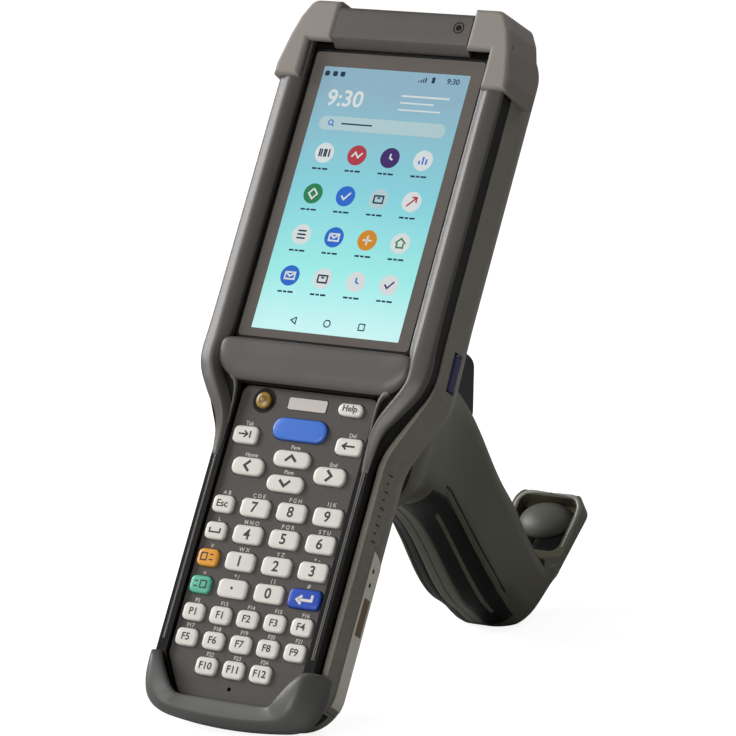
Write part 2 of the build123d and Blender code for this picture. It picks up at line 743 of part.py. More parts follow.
upward = Vector(0, 0, 1).rotate(Axis.X, -lean_angle)      # up from the surface it stands on
spring_head = Vector(0, spring_y, spring_z)
spring_foot = spring_head - spring_length * upward
all_sections = neck_sections + grip_sections
with BuildPart() as toe:
    corners = [corner for corner, radius in toe_profile]
    with BuildSketch(Plane.YZ):
        with BuildLine():
            FilletPolyline(*corners, radius=[radius for corner, radius in toe_profile], close=True)
        make_face()
    extrude(amount=toe_half_width, both=True)
    sole_start, sole_end = Vector(0, *corners[1]), Vector(0, *corners[2])
    toe_length = (sole_end - sole_start).length
    sole_plane = Plane(origin=sole_start, x_dir=(1, 0, 0),
                       z_dir=Vector(1, 0, 0).cross(sole_end - sole_start))
    with BuildSketch(sole_plane):
        with Locations((0, 0)):
            RectangleRounded(2 * toe_half_width, 2 * toe_length, toe_corner)
    extrude(amount=3 * toe_corner, both=True, mode=Mode.INTERSECT)
    with BuildSketch(sole_plane.offset(dish_floor)):
        with Locations((0, (dish_start + toe_length - dish_rim) / 2)):
            RectangleRounded(2 * (toe_half_width - dish_rim), toe_length - dish_rim - dish_start,
                             toe_corner - dish_rim)
    extrude(amount=3 * toe_corner, mode=Mode.SUBTRACT)

with BuildPart() as handle:
    loft([grip_section(*section) for section in all_sections]
         + [heel_section(*section) for section in heel_sections])
    add(toe.part)
    trim_to_floor()
    # hollow inside
    inner = [section for section in all_sections if section[0] > grip_cavity_floor]
    inner[0] = (neck_top_z - grip_wall, *neck_sections[0][1:])
    loft([grip_section(*section, inset=grip_wall) for section in inner], mode=Mode.SUBTRACT)
    # bosses for the trigger pin and a seat for its spring
    boss_reach = neck_half_width - grip_wall - 4.0
    for side in (-1, 1):
        with BuildSketch(Plane.YZ.offset(side * (trigger_half_width + trigger_gap))):
            with Locations((pin_y, pin_z)):
                Circle(hub_radius)
        extrude(amount=side * (boss_reach - trigger_half_width))
    # slot the trigger swings in
    slot_half_width = trigger_half_width + trigger_gap
    block(-slot_half_width, slot_half_width, spring_y - spring_length, trigger_tip[0] + 5.0,
          trigger_foot[1] - 2.5, pin_z + hub_radius + trigger_gap, Mode.SUBTRACT)
    with Locations(Plane(origin=(0, pin_y, pin_z), z_dir=(1, 0, 0))):
        Cylinder(pin_radius, 2 * boss_reach - 4.0, mode=Mode.SUBTRACT)
    # rib that carries the foot of the return spring
    with BuildSketch(Plane(origin=spring_foot, x_dir=(1, 0, 0), z_dir=-upward)):
        with Locations((0, 0)):
            Rectangle(2 * (grip_half_width - 0.5), 2 * spring_radius + 3.0)
    extrude(amount=2.0)


handle_halves = {}
for name, keep in (("handle_shell_left", Keep.BOTTOM), ("handle_shell_right", Keep.TOP)):
    with BuildPart() as half:
        add(handle.part)
        split(bisect_by=Plane.YZ, keep=keep)
    half.part.label = name
    handle_halves[name] = half

# ------------------------------------------------------------------ trigger, pin and spring
with BuildPart() as trigger:
    blade = [
        (pin_y, pin_z + hub_radius - 0.2),
        (pin_y + 6.0, pin_z + hub_radius - 1.0),
        (pin_y + 9.5, pin_z - 10.0),
        (pin_y + 9.5, pin_z - 22.0),
        (trigger_tip[0] - 0.3, trigger_tip[1] + 3.5),
        (trigger_tip[0] - 0.8, trigger_tip[1] - 2.5),
        trigger_foot,
        (spring_y + 0.5, trigger_foot[1] + 2.0),
    ]
    seat = Vector(0, upward.Z, -upward.Y)
    back_low = spring_head + 4.0 * seat
    back_high = spring_head - 4.0 * seat
    back = [(back_low.Y, back_low.Z), (back_high.Y, back_high.Z), (pin_y - 2.5, pin_z - 4.0)]
    with BuildSketch(Plane.YZ):
        with BuildLine():
            FilletPolyline(*blade, *back, close=True,
                           radius=[1.0, 4.0, 10.0, 14.0, 2.0, 2.0, 3.0, 2.0, 1.0, 0.4, 1.0])
        make_face()
    extrude(amount=trigger_half_width, both=True)
    with BuildSketch(Plane.YZ):
        with Locations((pin_y, pin_z)):
            Circle(hub_radius)
    extrude(amount=trigger_half_width, both=True)
    # rounded front edges: the plan's far end lies well behind the trigger
    plan_length = 2 * (trigger_tip[0] - back_z)
    with BuildSketch(Plane.XY):
        with Locations((0, trigger_tip[0] - plan_length / 2)):
            RectangleRounded(2 * trigger_half_width, plan_length, trigger_corner)
    extrude(amount=-trigger_foot[1] + cutter_reach, both=True, mode=Mode.INTERSECT)
    with Locations(Plane(origin=(0, pin_y, pin_z), z_dir=(1, 0, 0))):
        Cylinder(pin_radius + pin_clearance, 3 * trigger_half_width, mode=Mode.SUBTRACT)
trigger.part.label = "trigger"

with BuildPart() as trigger_pin:
    with Locations(Plane(origin=(0, pin_y, pin_z), z_dir=(1, 0, 0))):
        Cylinder(pin_radius, 2 * boss_reach - 4.0)
trigger_pin.part.label = "trigger_pin"

with BuildPart() as trigger_spring:
    coil_radius = spring_radius - spring_wire
    coil_length = spring_length - 2 * spring_wire - 2 * spring_gap
    with BuildLine() as coil:
        Helix(pitch=coil_length / spring_turns, height=coil_length, radius=coil_radius,
              center=spring_foot + (spring_wire + spring_gap) * upward, direction=upward)
    with BuildSketch(Plane(origin=coil.line @ 0, z_dir=coil.line % 0)):
        Circle(spring_wire)
    sweep()
trigger_spring.part.label = "trigger_spring"


# ------------------------------------------------------------------ stance and files
pieces = [
    front_housing, inner_frame, rear_housing, top_left_bumper, top_right_bumper, bottom_bumper,
    display_glass, display_module, keypad_panel, status_light, key_mat, main_board, battery_pack,
    scan_window, scan_engine, right_scan_button, case_screws,
    *handle_halves.values(), trigger, trigger_pin, trigger_spring, *key_parts,
]
lean = Rot(lean_angle, 0, 0)
boxes = [(lean * piece.part).bounding_box() for piece in pieces]
low_y = min(box.min.Y for box in boxes)
high_y = max(box.max.Y for box in boxes)
stance = Pos(0, -(low_y + high_y) / 2, rest_reach) * lean
for piece in pieces:
    placed = stance * piece.part
    placed.label = piece.part.label
    export_step(placed, f"parts/{placed.label}.step")
print(f"drawing origin after leaning: y {-(low_y + high_y) / 2:.4f}, z {rest_reach:.4f}")
print("lowest point", round(min(box.min.Z for box in boxes) + rest_reach, 4))
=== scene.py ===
import json
import math

import bmesh
import bpy
from mathutils import Matrix, Vector
from mathutils.bvhtree import BVHTree


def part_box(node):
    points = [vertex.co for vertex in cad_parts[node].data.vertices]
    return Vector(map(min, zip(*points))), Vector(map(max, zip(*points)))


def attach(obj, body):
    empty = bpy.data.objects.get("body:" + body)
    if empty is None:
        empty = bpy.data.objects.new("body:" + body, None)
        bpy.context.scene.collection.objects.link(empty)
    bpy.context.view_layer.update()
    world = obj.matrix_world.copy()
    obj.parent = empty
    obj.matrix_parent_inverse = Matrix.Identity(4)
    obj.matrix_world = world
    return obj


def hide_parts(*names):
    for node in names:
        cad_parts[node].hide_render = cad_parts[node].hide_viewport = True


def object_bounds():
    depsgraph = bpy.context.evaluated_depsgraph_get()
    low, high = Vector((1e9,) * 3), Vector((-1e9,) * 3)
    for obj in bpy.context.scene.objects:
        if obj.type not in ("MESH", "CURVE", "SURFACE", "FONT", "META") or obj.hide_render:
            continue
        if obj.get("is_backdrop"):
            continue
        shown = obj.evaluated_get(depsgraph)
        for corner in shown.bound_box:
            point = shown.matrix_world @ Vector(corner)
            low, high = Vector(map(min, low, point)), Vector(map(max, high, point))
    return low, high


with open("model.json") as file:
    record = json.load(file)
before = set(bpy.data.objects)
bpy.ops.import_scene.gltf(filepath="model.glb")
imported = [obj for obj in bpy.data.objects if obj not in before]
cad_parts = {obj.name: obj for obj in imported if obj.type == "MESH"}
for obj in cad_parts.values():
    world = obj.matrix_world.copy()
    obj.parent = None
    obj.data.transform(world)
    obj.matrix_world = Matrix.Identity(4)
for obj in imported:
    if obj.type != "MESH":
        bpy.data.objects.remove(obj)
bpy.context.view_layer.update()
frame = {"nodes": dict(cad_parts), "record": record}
nodes = frame["nodes"]

# ---------------- drawing frame
# The pieces are drawn in millimetres as the terminal lies on its back: X right, Y towards the scan
# end, Z out of the glass, origin at the bottom of the lit screen. LEAN stands it on its heel.
MM = 0.001
LEAN = math.radians(60)
GLASS_LOW_Y, GLASS_HIGH_Y = -3.6, 93.0
SCREEN_HALF, SCREEN_LOW, SCREEN_HIGH = 26.1, 0.0, 87.3             # lit part of the glass
glass_low, glass_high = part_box("display_glass")
ORIGIN = Vector((0,
                 glass_low[1] - GLASS_LOW_Y * math.cos(LEAN) * MM,
                 glass_high[2] - GLASS_HIGH_Y * math.sin(LEAN) * MM))
STANCE = Matrix.Translation(ORIGIN) @ Matrix.Rotation(LEAN, 4, "X") @ Matrix.Scale(MM, 4)
TO_DRAWING = STANCE.inverted()


def at(x, y, z):
    """A drawing point where the terminal stands, metres."""
    return STANCE @ Vector((x, y, z))


def drawing_box(name):
    """Lowest and highest corner of a CAD node in the drawing frame, mm."""
    points = [TO_DRAWING @ v.co for v in nodes[name].data.vertices]
    return (Vector([min(p[i] for p in points) for i in range(3)]),
            Vector([max(p[i] for p in points) for i in range(3)]))


def between(start, end, steps):
    """Even numbers from start to end, with one more close inside each end for a crisp border."""
    inner = [start + (end - start) * k / steps for k in range(1, steps)]
    hem = (end - start) * 0.25 / steps
    return [start, start + hem] + inner + [end - hem, end]


def flow(rows, steps=5):
    """Rows of numbers passed through by a smooth curve, with steps rows from each one to the next."""
    result = []
    for i in range(len(rows) - 1):
        p0, p1, p2, p3 = rows[max(i - 1, 0)], rows[i], rows[i + 1], rows[min(i + 2, len(rows) - 1)]
        for k in range(steps):
            t = k / steps
            result.append([0.5 * (2 * b + (c - a) * t + (2 * a - 5 * b + 4 * c - d) * t * t
                                  + (3 * b - a - 3 * c + d) * t ** 3) for a, b, c, d in zip(p0, p1, p2, p3)])
    return result + [list(rows[-1])]


# ---------------- mesh helpers
def new_object(name, data):
    """An object in the scene."""
    obj = bpy.data.objects.new(name, data)
    bpy.context.scene.collection.objects.link(obj)
    return obj


def piece_from(name, verts, faces, materials, slot, body="terminal", replaces=(), smooth=True, marks=None):
    """A mesh piece from drawing coordinates."""
    mesh = bpy.data.meshes.new(name)
    mesh.from_pydata([at(*v) for v in verts], [], faces)
    bm = bmesh.new()
    bm.from_mesh(mesh)
    bmesh.ops.remove_doubles(bm, verts=bm.verts, dist=1e-7)
    if marks is None:
        bmesh.ops.recalc_face_normals(bm, faces=bm.faces)
    bm.to_mesh(mesh)
    bm.free()
    for m in materials:
        mesh.materials.append(m)
    if marks:
        mesh.polygons.foreach_set("material_index", marks)
    if smooth:
        mesh.polygons.foreach_set("use_smooth", [True] * len(mesh.polygons))
    obj = new_object(name, mesh)
    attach(obj, body)
    if replaces:
        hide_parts(*replaces)
    return obj


def rounded_rect(width, height, radius, corner_points=6, centre=(0, 0)):
    """Closed outline of a rounded rectangle, counter-clockwise."""
    points = []
    for cx, cy, start in ((1, 1, 0), (-1, 1, 90), (-1, -1, 180), (1, -1, 270)):
        ox, oy = cx * (width / 2 - radius), cy * (height / 2 - radius)
        for i in range(corner_points + 1):
            a = math.radians(start + 90 * i / corner_points)
            points.append((centre[0] + ox + radius * math.cos(a), centre[1] + oy + radius * math.sin(a)))
    return points


def skin(rings):
    """Quad skin over closed rings of equal length, with a face over each end."""
    verts = [p for ring in rings for p in ring]
    n = len(rings[0])
    faces = []
    for r in range(len(rings) - 1):
        for i in range(n):
            j = (i + 1) % n
            faces.append((r * n + i, r * n + j, (r + 1) * n + j, (r + 1) * n + i))
    faces.append(tuple(range(n - 1, -1, -1)))
    faces.append(tuple(range((len(rings) - 1) * n, len(rings) * n)))
    return verts, faces


class Shape:
    """Gathers prisms, strokes, text and skins into one mesh, with a material number for each face."""

    def __init__(self):
        self.verts, self.faces, self.marks = [], [], []

    def add(self, verts, faces, mark=0):
        base = len(self.verts)
        self.verts += [tuple(v) for v in verts]
        self.faces += [tuple(base + i for i in f) for f in faces]
        self.marks += [mark] * len(faces)

    def prism(self, outline, low, high, mark=0):
        n = len(outline)
        verts = [(x, y, low) for x, y in outline] + [(x, y, high) for x, y in outline]
        faces = [tuple(range(n - 1, -1, -1)), tuple(range(n, 2 * n))]
        faces += [(i, (i + 1) % n, n + (i + 1) % n, n + i) for i in range(n)]
        self.add(verts, faces, mark)

    def disc(self, x, y, radius, low, high, mark=0, points=24):
        turns = [i * math.tau / points for i in range(points)]
        self.prism([(x + radius * math.cos(a), y + radius * math.sin(a)) for a in turns], low, high, mark)

    def stroke(self, points, width, low, high, mark=0, closed=False):
        """Flat ribbon of even width along a line of points, mitred at its corners."""
        pts = [Vector(p) for p in points]
        left, right = [], []
        count = len(pts)
        for i, p in enumerate(pts):
            before = pts[i - 1] if (i or closed) else None
            after = pts[(i + 1) % count] if (i < count - 1 or closed) else None
            d0 = (p - before).normalized() if before is not None else None
            d1 = (after - p).normalized() if after is not None else None
            d0, d1 = d0 or d1, d1 or d0
            normal = Vector((-(d0 + d1).y, (d0 + d1).x)).normalized()
            reach = width / 2 / max(0.35, normal.dot(Vector((-d0.y, d0.x))))
            left.append(p + normal * reach)
            right.append(p - normal * reach)
        verts = [(q.x, q.y, z) for z in (low, high) for q in left + right]
        m = 2 * count
        faces = []
        for i in range(count if closed else count - 1):
            j = (i + 1) % count
            a, b, c, d = i, j, count + j, count + i
            faces += [(m + d, m + c, m + b, m + a), (a, b, c, d), (a, m + a, m + b, b),
                      (c, m + c, m + d, d)]
        if not closed:
            e = count - 1
            faces += [(0, count, m + count, m), (e, m + e, m + count + e, count + e)]
        self.add(verts, faces, mark)

    def ring(self, x, y, radius, width, low, high, mark=0, points=24, start=0.0, sweep=math.tau):
        closed = abs(sweep - math.tau) < 1e-6
        n = points if closed else points + 1
        self.stroke([(x + radius * math.cos(start + sweep * i / points),
                      y + radius * math.sin(start + sweep * i / points)) for i in range(n)],
                    width, low, high, mark, closed)

    def text(self, words, x, y, size, low, high, mark=0):
        verts, faces = text_mesh(words)
        self.add([(x + vx * size, y + vy * size, low + (high - low) * (vz + 0.5)) for vx, vy, vz in verts],
                 faces, mark)

    def pillow(self, x, y, width, height, corner, low, high, rounding, dome):
        """Rounded key top: upright side, rolled edge and a slight crown."""
        rings = []
        steps = 4
        least_corner = 0.2
        levels = [(0.0, low), (0.0, high - rounding)]
        levels += [(rounding * (1 - math.cos(a)), high - rounding + rounding * math.sin(a))
                   for a in (math.pi / 2 * i / steps for i in range(1, steps + 1))]
        for inset, z in levels:
            outline = rounded_rect(width - 2 * inset, height - 2 * inset, max(corner - inset, least_corner),
                                   centre=(x, y))
            rings.append([(px, py, z) for px, py in outline])
        top = rings[-1]
        for k in (0.75, 0.45, 0.15):
            rings.append([(x + (px - x) * k, y + (py - y) * k, high + dome * (1 - k * k))
                          for px, py, _ in top])
        self.add(*skin(rings))

    def build(self, name, materials, slot, **options):
        return piece_from(name, self.verts, self.faces, materials, slot, marks=self.marks, **options)


TEXT_WEIGHT = 0.018          # how far the letters' outlines are pushed out, of the letter size
text_cache = {}


def text_mesh(words):
    """Vertices and faces of a word in the built-in sans font, one unit tall, centred on its own box."""
    if words not in text_cache:
        curve = bpy.data.curves.new("words", "FONT")
        curve.body = words
        curve.extrude = 0.5
        curve.offset = TEXT_WEIGHT
        curve.resolution_u = 3
        holder = new_object("words", curve)
        mesh = bpy.data.meshes.new_from_object(holder)
        verts = [tuple(v.co) for v in mesh.vertices]
        faces = [tuple(p.vertices) for p in mesh.polygons]
        bpy.data.objects.remove(holder)
        bpy.data.curves.remove(curve)
        bpy.data.meshes.remove(mesh)
        xs, ys = [v[0] for v in verts], [v[1] for v in verts]
        mx, my = (min(xs) + max(xs)) / 2, (min(ys) + max(ys)) / 2
        text_cache[words] = ([(vx - mx, vy - my, vz) for vx, vy, vz in verts], faces)
    return text_cache[words]


# ---------------- materials
def new_material(name):
    """New node material, its node tree and its Principled shader."""
    mat = bpy.data.materials.new(name)
    mat.use_nodes = True
    tree = mat.node_tree
    return mat, tree, tree.nodes["Principled BSDF"]


def fill(node, values):
    """Fixed values of a node's inputs."""
    for socket, value in values.items():
        node.inputs[socket].default_value = value


def noise(tree, place, scale, detail):
    """Noise over the object's own coordinates."""
    node = tree.nodes.new("ShaderNodeTexNoise")
    fill(node, {"Scale": scale, "Detail": detail})
    tree.links.new(place, node.inputs["Vector"])
    return node.outputs["Fac"]


def ranged(tree, value, low, high, start=0.0, end=1.0):
    """A value's run from start to end, laid out from low to high."""
    node = tree.nodes.new("ShaderNodeMapRange")
    fill(node, {"From Min": start, "From Max": end, "To Min": low, "To Max": high})
    tree.links.new(value, node.inputs["Value"])
    return node.outputs["Result"]


def scaled(tree, colour, factor):
    """A colour, fixed or from a socket, made lighter or darker by a varying factor."""
    node = tree.nodes.new("ShaderNodeVectorMath")
    node.operation = "SCALE"
    if isinstance(colour, tuple):
        node.inputs[0].default_value = colour
    else:
        tree.links.new(colour, node.inputs[0])
    tree.links.new(factor, node.inputs["Scale"])
    return node.outputs["Vector"]


PATCH_SCALE, SPECKLE_SCALE = 60.0, 3000.0
SPECKLE_RUN = (0.45, 0.7)          # share of the noise that the speckle uses
EDGE_RUN = (0.53, 0.62)            # pointiness from flat to a sharp convex edge, which is made lighter
ROUGHNESS_DRIFT, BUMP_STRENGTH, COAT_ROUGHNESS = 0.06, 0.6, 0.12


def plastic(name, colour, roughness, grain=2500.0, depth=0.00003, patches=0.12, speckle=0.0, coat=0.0,
            specular=0.5, edge_lift=0.0):
    """Moulded plastic: fine grain in the bump, slow colour drift, optional speckle, gloss and lighter convex
    edges.
    """
    mat, tree, shader = new_material(name)
    place = tree.nodes.new("ShaderNodeTexCoord").outputs["Object"]
    slow = noise(tree, place, PATCH_SCALE, 4.0)
    fine = noise(tree, place, grain, 3.0)
    shown = scaled(tree, colour, ranged(tree, slow, 1.0 - patches, 1.0 + patches))
    if speckle:
        dots = noise(tree, place, SPECKLE_SCALE, 2.0)
        shown = scaled(tree, shown, ranged(tree, dots, 1.0 - speckle, 1.0 + speckle, *SPECKLE_RUN))
    # sharp convex edges made lighter as pointiness rises
    if edge_lift:
        edge = tree.nodes.new("ShaderNodeNewGeometry").outputs["Pointiness"]
        shown = scaled(tree, shown, ranged(tree, edge, 1.0, 1.0 + edge_lift, *EDGE_RUN))
    tree.links.new(shown, shader.inputs["Base Color"])
    rough = ranged(tree, fine, roughness - ROUGHNESS_DRIFT, roughness + ROUGHNESS_DRIFT)
    tree.links.new(rough, shader.inputs["Roughness"])
    bump = tree.nodes.new("ShaderNodeBump")
    fill(bump, {"Distance": depth, "Strength": BUMP_STRENGTH})
    tree.links.new(fine, bump.inputs["Height"])
    tree.links.new(bump.outputs["Normal"], shader.inputs["Normal"])
    fill(shader, {"Specular IOR Level": specular, "Coat Weight": coat, "Coat Roughness": COAT_ROUGHNESS})
    return mat


def srgb(r, g, b):
    """Scene-linear colour of an 8-bit screen colour."""
    return tuple(((c / 255) / 12.92 if c <= 10 else ((c / 255 + 0.055) / 1.055) ** 2.4) for c in (r, g, b))


# sharp edges of the housing made lighter
housing = plastic("housing_plastic", srgb(96, 92, 88), 0.36, edge_lift=0.25)
band = plastic("band_plastic", srgb(154, 148, 137), 0.46, speckle=0.2)
bumper = plastic("bumper_rubber", srgb(150, 142, 135), 0.55, grain=3500.0, patches=0.06)
black = plastic("black_plastic", srgb(9, 8, 7), 0.36, specular=0.25)
panel = plastic("panel_plastic", srgb(72, 67, 63), 0.5, speckle=0.1)
glass_face = plastic("glass_border", srgb(112, 106, 100), 0.09, grain=40.0, depth=0.0, patches=0.1, coat=1.0)
key_white = plastic("key_white", srgb(240, 236, 228), 0.3, grain=900.0, depth=0.00002, patches=0.04, coat=0.3)
key_blue = plastic("key_blue", srgb(76, 128, 228), 0.3, patches=0.05, coat=0.2)
key_deep_blue = plastic("key_deep_blue", srgb(48, 88, 196), 0.3, patches=0.05, coat=0.2)
key_orange = plastic("key_orange", srgb(246, 172, 66), 0.3, patches=0.05, coat=0.2)
key_green = plastic("key_green", srgb(106, 200, 172), 0.3, patches=0.05, coat=0.2)
key_gold = plastic("key_gold", srgb(172, 138, 62), 0.3, patches=0.08, coat=0.3)
lens = plastic("lens_plastic", srgb(214, 206, 200), 0.35, patches=0.04)
ink = plastic("legend_ink", srgb(48, 46, 46), 0.5, patches=0.02)
handle_skin = plastic("handle_plastic", srgb(98, 96, 78), 0.4, grain=2200.0, patches=0.15)
trigger_skin = plastic("trigger_plastic", srgb(18, 17, 15), 0.4)
label_skin = plastic("battery_label", srgb(252, 248, 232), 0.3, patches=0.05)
label_brown = plastic("label_brown", srgb(140, 112, 84), 0.4, patches=0.2)
# pale colour of the toe's rim strip: painted highlight
toe_rim_highlight_skin = plastic("toe_rim_painted_highlight", srgb(182, 180, 172), 0.3)
dome_skin = plastic("toe_dome_rubber", srgb(112, 112, 104), 0.45)
# lighter colour of the palm strip: painted highlight where the palm's far half catches light
palm_highlight_skin = plastic("palm_painted_highlight", srgb(120, 120, 106), 0.4)
button_skin = plastic("button_blue", srgb(52, 54, 104), 0.4)
steel = plastic("steel", srgb(150, 150, 150), 0.3)
tinted = plastic("tinted_window", srgb(40, 14, 16), 0.06, coat=1.0)
gold_ink = plastic("gold_ink", srgb(92, 66, 30), 0.5, patches=0.02)
pale_ink = plastic("pale_ink", srgb(206, 198, 190), 0.6, patches=0.03)
bumper_dark = plastic("lower_bumper_rubber", srgb(98, 98, 96), 0.42, grain=3500.0, patches=0.06)

SCREEN_ROUGHNESS, SCREEN_COAT = 0.16, 0.4
SCREEN_GLOW = 0.25
# share of the way up the screen, and the colour there
SCREEN_STOPS = [(0.06, (206, 246, 246)), (0.3, (158, 234, 230)), (0.62, (134, 206, 218)),
                (1.0, (140, 176, 194))]


def screen_ink(name, *colour):
    """Colour shown on the screen, under the same gloss as the glass."""
    return plastic(f"screen_{name}", srgb(*colour), SCREEN_ROUGHNESS, grain=300.0, depth=0.0, patches=0.03,
                   coat=SCREEN_COAT)


def screen_gradient():
    """Lit wallpaper: grey-blue at the top of the screen to a pale aqua at its foot."""
    mat, tree, shader = new_material("screen_light")
    links, make = tree.links, tree.nodes.new
    place = make("ShaderNodeTexCoord").outputs["Object"]
    up_screen = Vector((0, math.cos(LEAN), math.sin(LEAN)))
    height = make("ShaderNodeVectorMath")
    height.operation = "DOT_PRODUCT"
    height.inputs[1].default_value = up_screen
    links.new(place, height.inputs[0])
    foot = up_screen.dot(ORIGIN)
    run = ranged(tree, height.outputs["Value"], 0.0, 1.0, foot, foot + SCREEN_HIGH * MM)
    shift = make("ShaderNodeMath")
    shift.operation = "MULTIPLY_ADD"
    shift.inputs[1].default_value = 0.16
    links.new(noise(tree, place, 18.0, 1.0), shift.inputs[0])
    links.new(run, shift.inputs[2])
    ramp = make("ShaderNodeValToRGB")
    while len(ramp.color_ramp.elements) < len(SCREEN_STOPS):
        ramp.color_ramp.elements.new(0.5)
    for element, (share, colour) in zip(ramp.color_ramp.elements, SCREEN_STOPS):
        element.position = share
        element.color = (*srgb(*colour), 1)
    links.new(shift.outputs["Value"], ramp.inputs["Fac"])
    links.new(ramp.outputs["Color"], shader.inputs["Base Color"])
    links.new(ramp.outputs["Color"], shader.inputs["Emission Color"])
    fill(shader, {"Emission Strength": SCREEN_GLOW, "Roughness": SCREEN_ROUGHNESS,
                  "Coat Weight": SCREEN_COAT, "Coat Roughness": COAT_ROUGHNESS})
    return mat


screen_light = screen_gradient()

NODE_MATERIALS = {
    "front_housing": housing, "inner_frame": black, "rear_housing": band, "battery_pack": band,
    "top_left_bumper": bumper, "top_right_bumper": bumper, "bottom_bumper": bumper,
    "display_glass": glass_face, "display_module": black, "keypad_panel": panel, "status_light": lens,
    "key_mat": black, "main_board": key_green, "scan_window": tinted, "scan_engine": black,
    "right_scan_button": button_skin, "case_screws": steel, "handle_shell_left": handle_skin,
    "handle_shell_right": handle_skin, "trigger": trigger_skin, "trigger_pin": steel,
    "trigger_spring": steel,
}
SPECIAL_KEYS = {"key_scan": key_blue, "key_enter": key_deep_blue, "key_orange": key_orange,
                "key_green": key_green, "key_power": key_gold}
for name, node in nodes.items():
    node.data.materials.clear()
    node.data.materials.append(NODE_MATERIALS.get(name) or SPECIAL_KEYS.get(name) or key_white)

SLOT_OF = {row["node"]: row["material_slot"] for row in frame["record"]["subparts"]}

# ---------------- keys with their legends
KEY_LIP = 0.3                      # flange outside each key, under the panel
KEY_CORNER, KEY_ROUNDING = 1.7, 0.75
KEY_SHOULDER = 0.04                # rolled edge's top, below the solid key's
KEY_CROWN, POWER_CROWN = 0.1, 0.5
KEY_CREASE = math.radians(40)
INK_STEP, INK_SINK = 0.03, 0.01    # how far printing stands off what it is on, and how deep it starts
DIGIT_SIZE, SMALL_SIZE, WORD_SIZE, POINT_SIZE = 4.6, 3.1, 2.7, 6.0
SIGN_STROKE, POWER_STROKE = 0.85, 0.3
corner_of = {"key_scan": 3.4, "key_aux": 1.9, "key_up": 2.3, "key_down": 2.3, "key_left": 2.4,
             "key_right": 2.4, "key_power": 2.5}
words_of = {f"key_{d}": (str(d), DIGIT_SIZE) for d in range(10)}
words_of.update({f"key_f{n}": (f"F{n}", SMALL_SIZE) for n in range(1, 13)})
words_of.update({"key_p1": ("P1", SMALL_SIZE), "key_esc": ("Esc", SMALL_SIZE), "key_aux": ("Help", WORD_SIZE),
                 "key_point": (".", POINT_SIZE)})
signs_of = {
    "key_up": [[(-1.9, -0.9), (0, 0.9), (1.9, -0.9)]],
    "key_down": [[(-1.9, 0.9), (0, -0.9), (1.9, 0.9)]],
    "key_left": [[(0.9, 1.7), (-0.9, 0), (0.9, -1.7)]],
    "key_right": [[(-0.9, 1.7), (0.9, 0), (-0.9, -1.7)]],
    "key_space": [[(-1.8, 0.7), (-1.8, -0.7), (1.8, -0.7), (1.8, 0.7)]],
    "key_tab": [[(-2.2, 0), (0.7, 0)], [(-0.2, 1.0), (1.0, 0), (-0.2, -1.0)], [(1.9, 1.1), (1.9, -1.1)]],
    "key_backspace": [[(2.3, 0), (-1.7, 0)], [(-0.6, 1.0), (-1.9, 0), (-0.6, -1.0)]],
    "key_enter": [[(2.8, 1.3), (2.8, -0.5), (-1.8, -0.5)], [(-0.6, 0.8), (-2.2, -0.5), (-0.6, -1.8)]],
    "key_orange": [[(-2.2, 1.1), (-0.2, 1.1), (-0.2, -1.1), (-2.2, -1.1), (-2.2, 1.1)],
                   [(0.8, 0.8), (2.0, 0.8)], [(0.8, -0.8), (2.0, -0.8)]],
    "key_green": [[(2.2, 1.1), (0.2, 1.1), (0.2, -1.1), (2.2, -1.1), (2.2, 1.1)],
                  [(-0.8, 0.8), (-2.0, 0.8)], [(-0.8, -0.8), (-2.0, -0.8)]],
    "key_power": [[(0, 1.2), (0, 0.1)]],
}
thin_strokes = {"key_orange": 0.4, "key_green": 0.4, "key_power": POWER_STROKE, "key_space": 0.5,
                "key_tab": 0.5, "key_backspace": 0.6}
ink_of = {"key_enter": key_white, "key_power": gold_ink}
for name in sorted(n for n in nodes if n.startswith("key_") and n != "key_mat"):
    low, high = drawing_box(name)
    centre = (low + high) / 2
    width, height = high.x - low.x - 2 * KEY_LIP, high.y - low.y - 2 * KEY_LIP
    key = Shape()
    crown = POWER_CROWN if name == "key_power" else KEY_CROWN
    shoulder = high.z - KEY_SHOULDER
    key.pillow(centre.x, centre.y, width, height, corner_of.get(name, KEY_CORNER), low.z, shoulder,
               KEY_ROUNDING, crown)
    ink_low, ink_high = shoulder + crown - INK_SINK, shoulder + crown + INK_STEP
    if name in words_of:
        words, size = words_of[name]
        key.text(words, centre.x, centre.y, size, ink_low, ink_high, 1)
    for line in signs_of.get(name, []):
        key.stroke([(centre.x + x, centre.y + y) for x, y in line], thin_strokes.get(name, SIGN_STROKE),
                   ink_low, ink_high, 1)
    if name == "key_power":
        key.ring(centre.x, centre.y, 1.0, POWER_STROKE, ink_low, ink_high, 1, start=math.radians(120),
                 sweep=math.radians(300))
    cap = key.build(f"{name}_cap", [SPECIAL_KEYS.get(name, key_white), ink_of.get(name, ink)], body=name,
                    slot=SLOT_OF[name], replaces=[name])
    cap.data.set_sharp_from_angle(angle=KEY_CREASE)

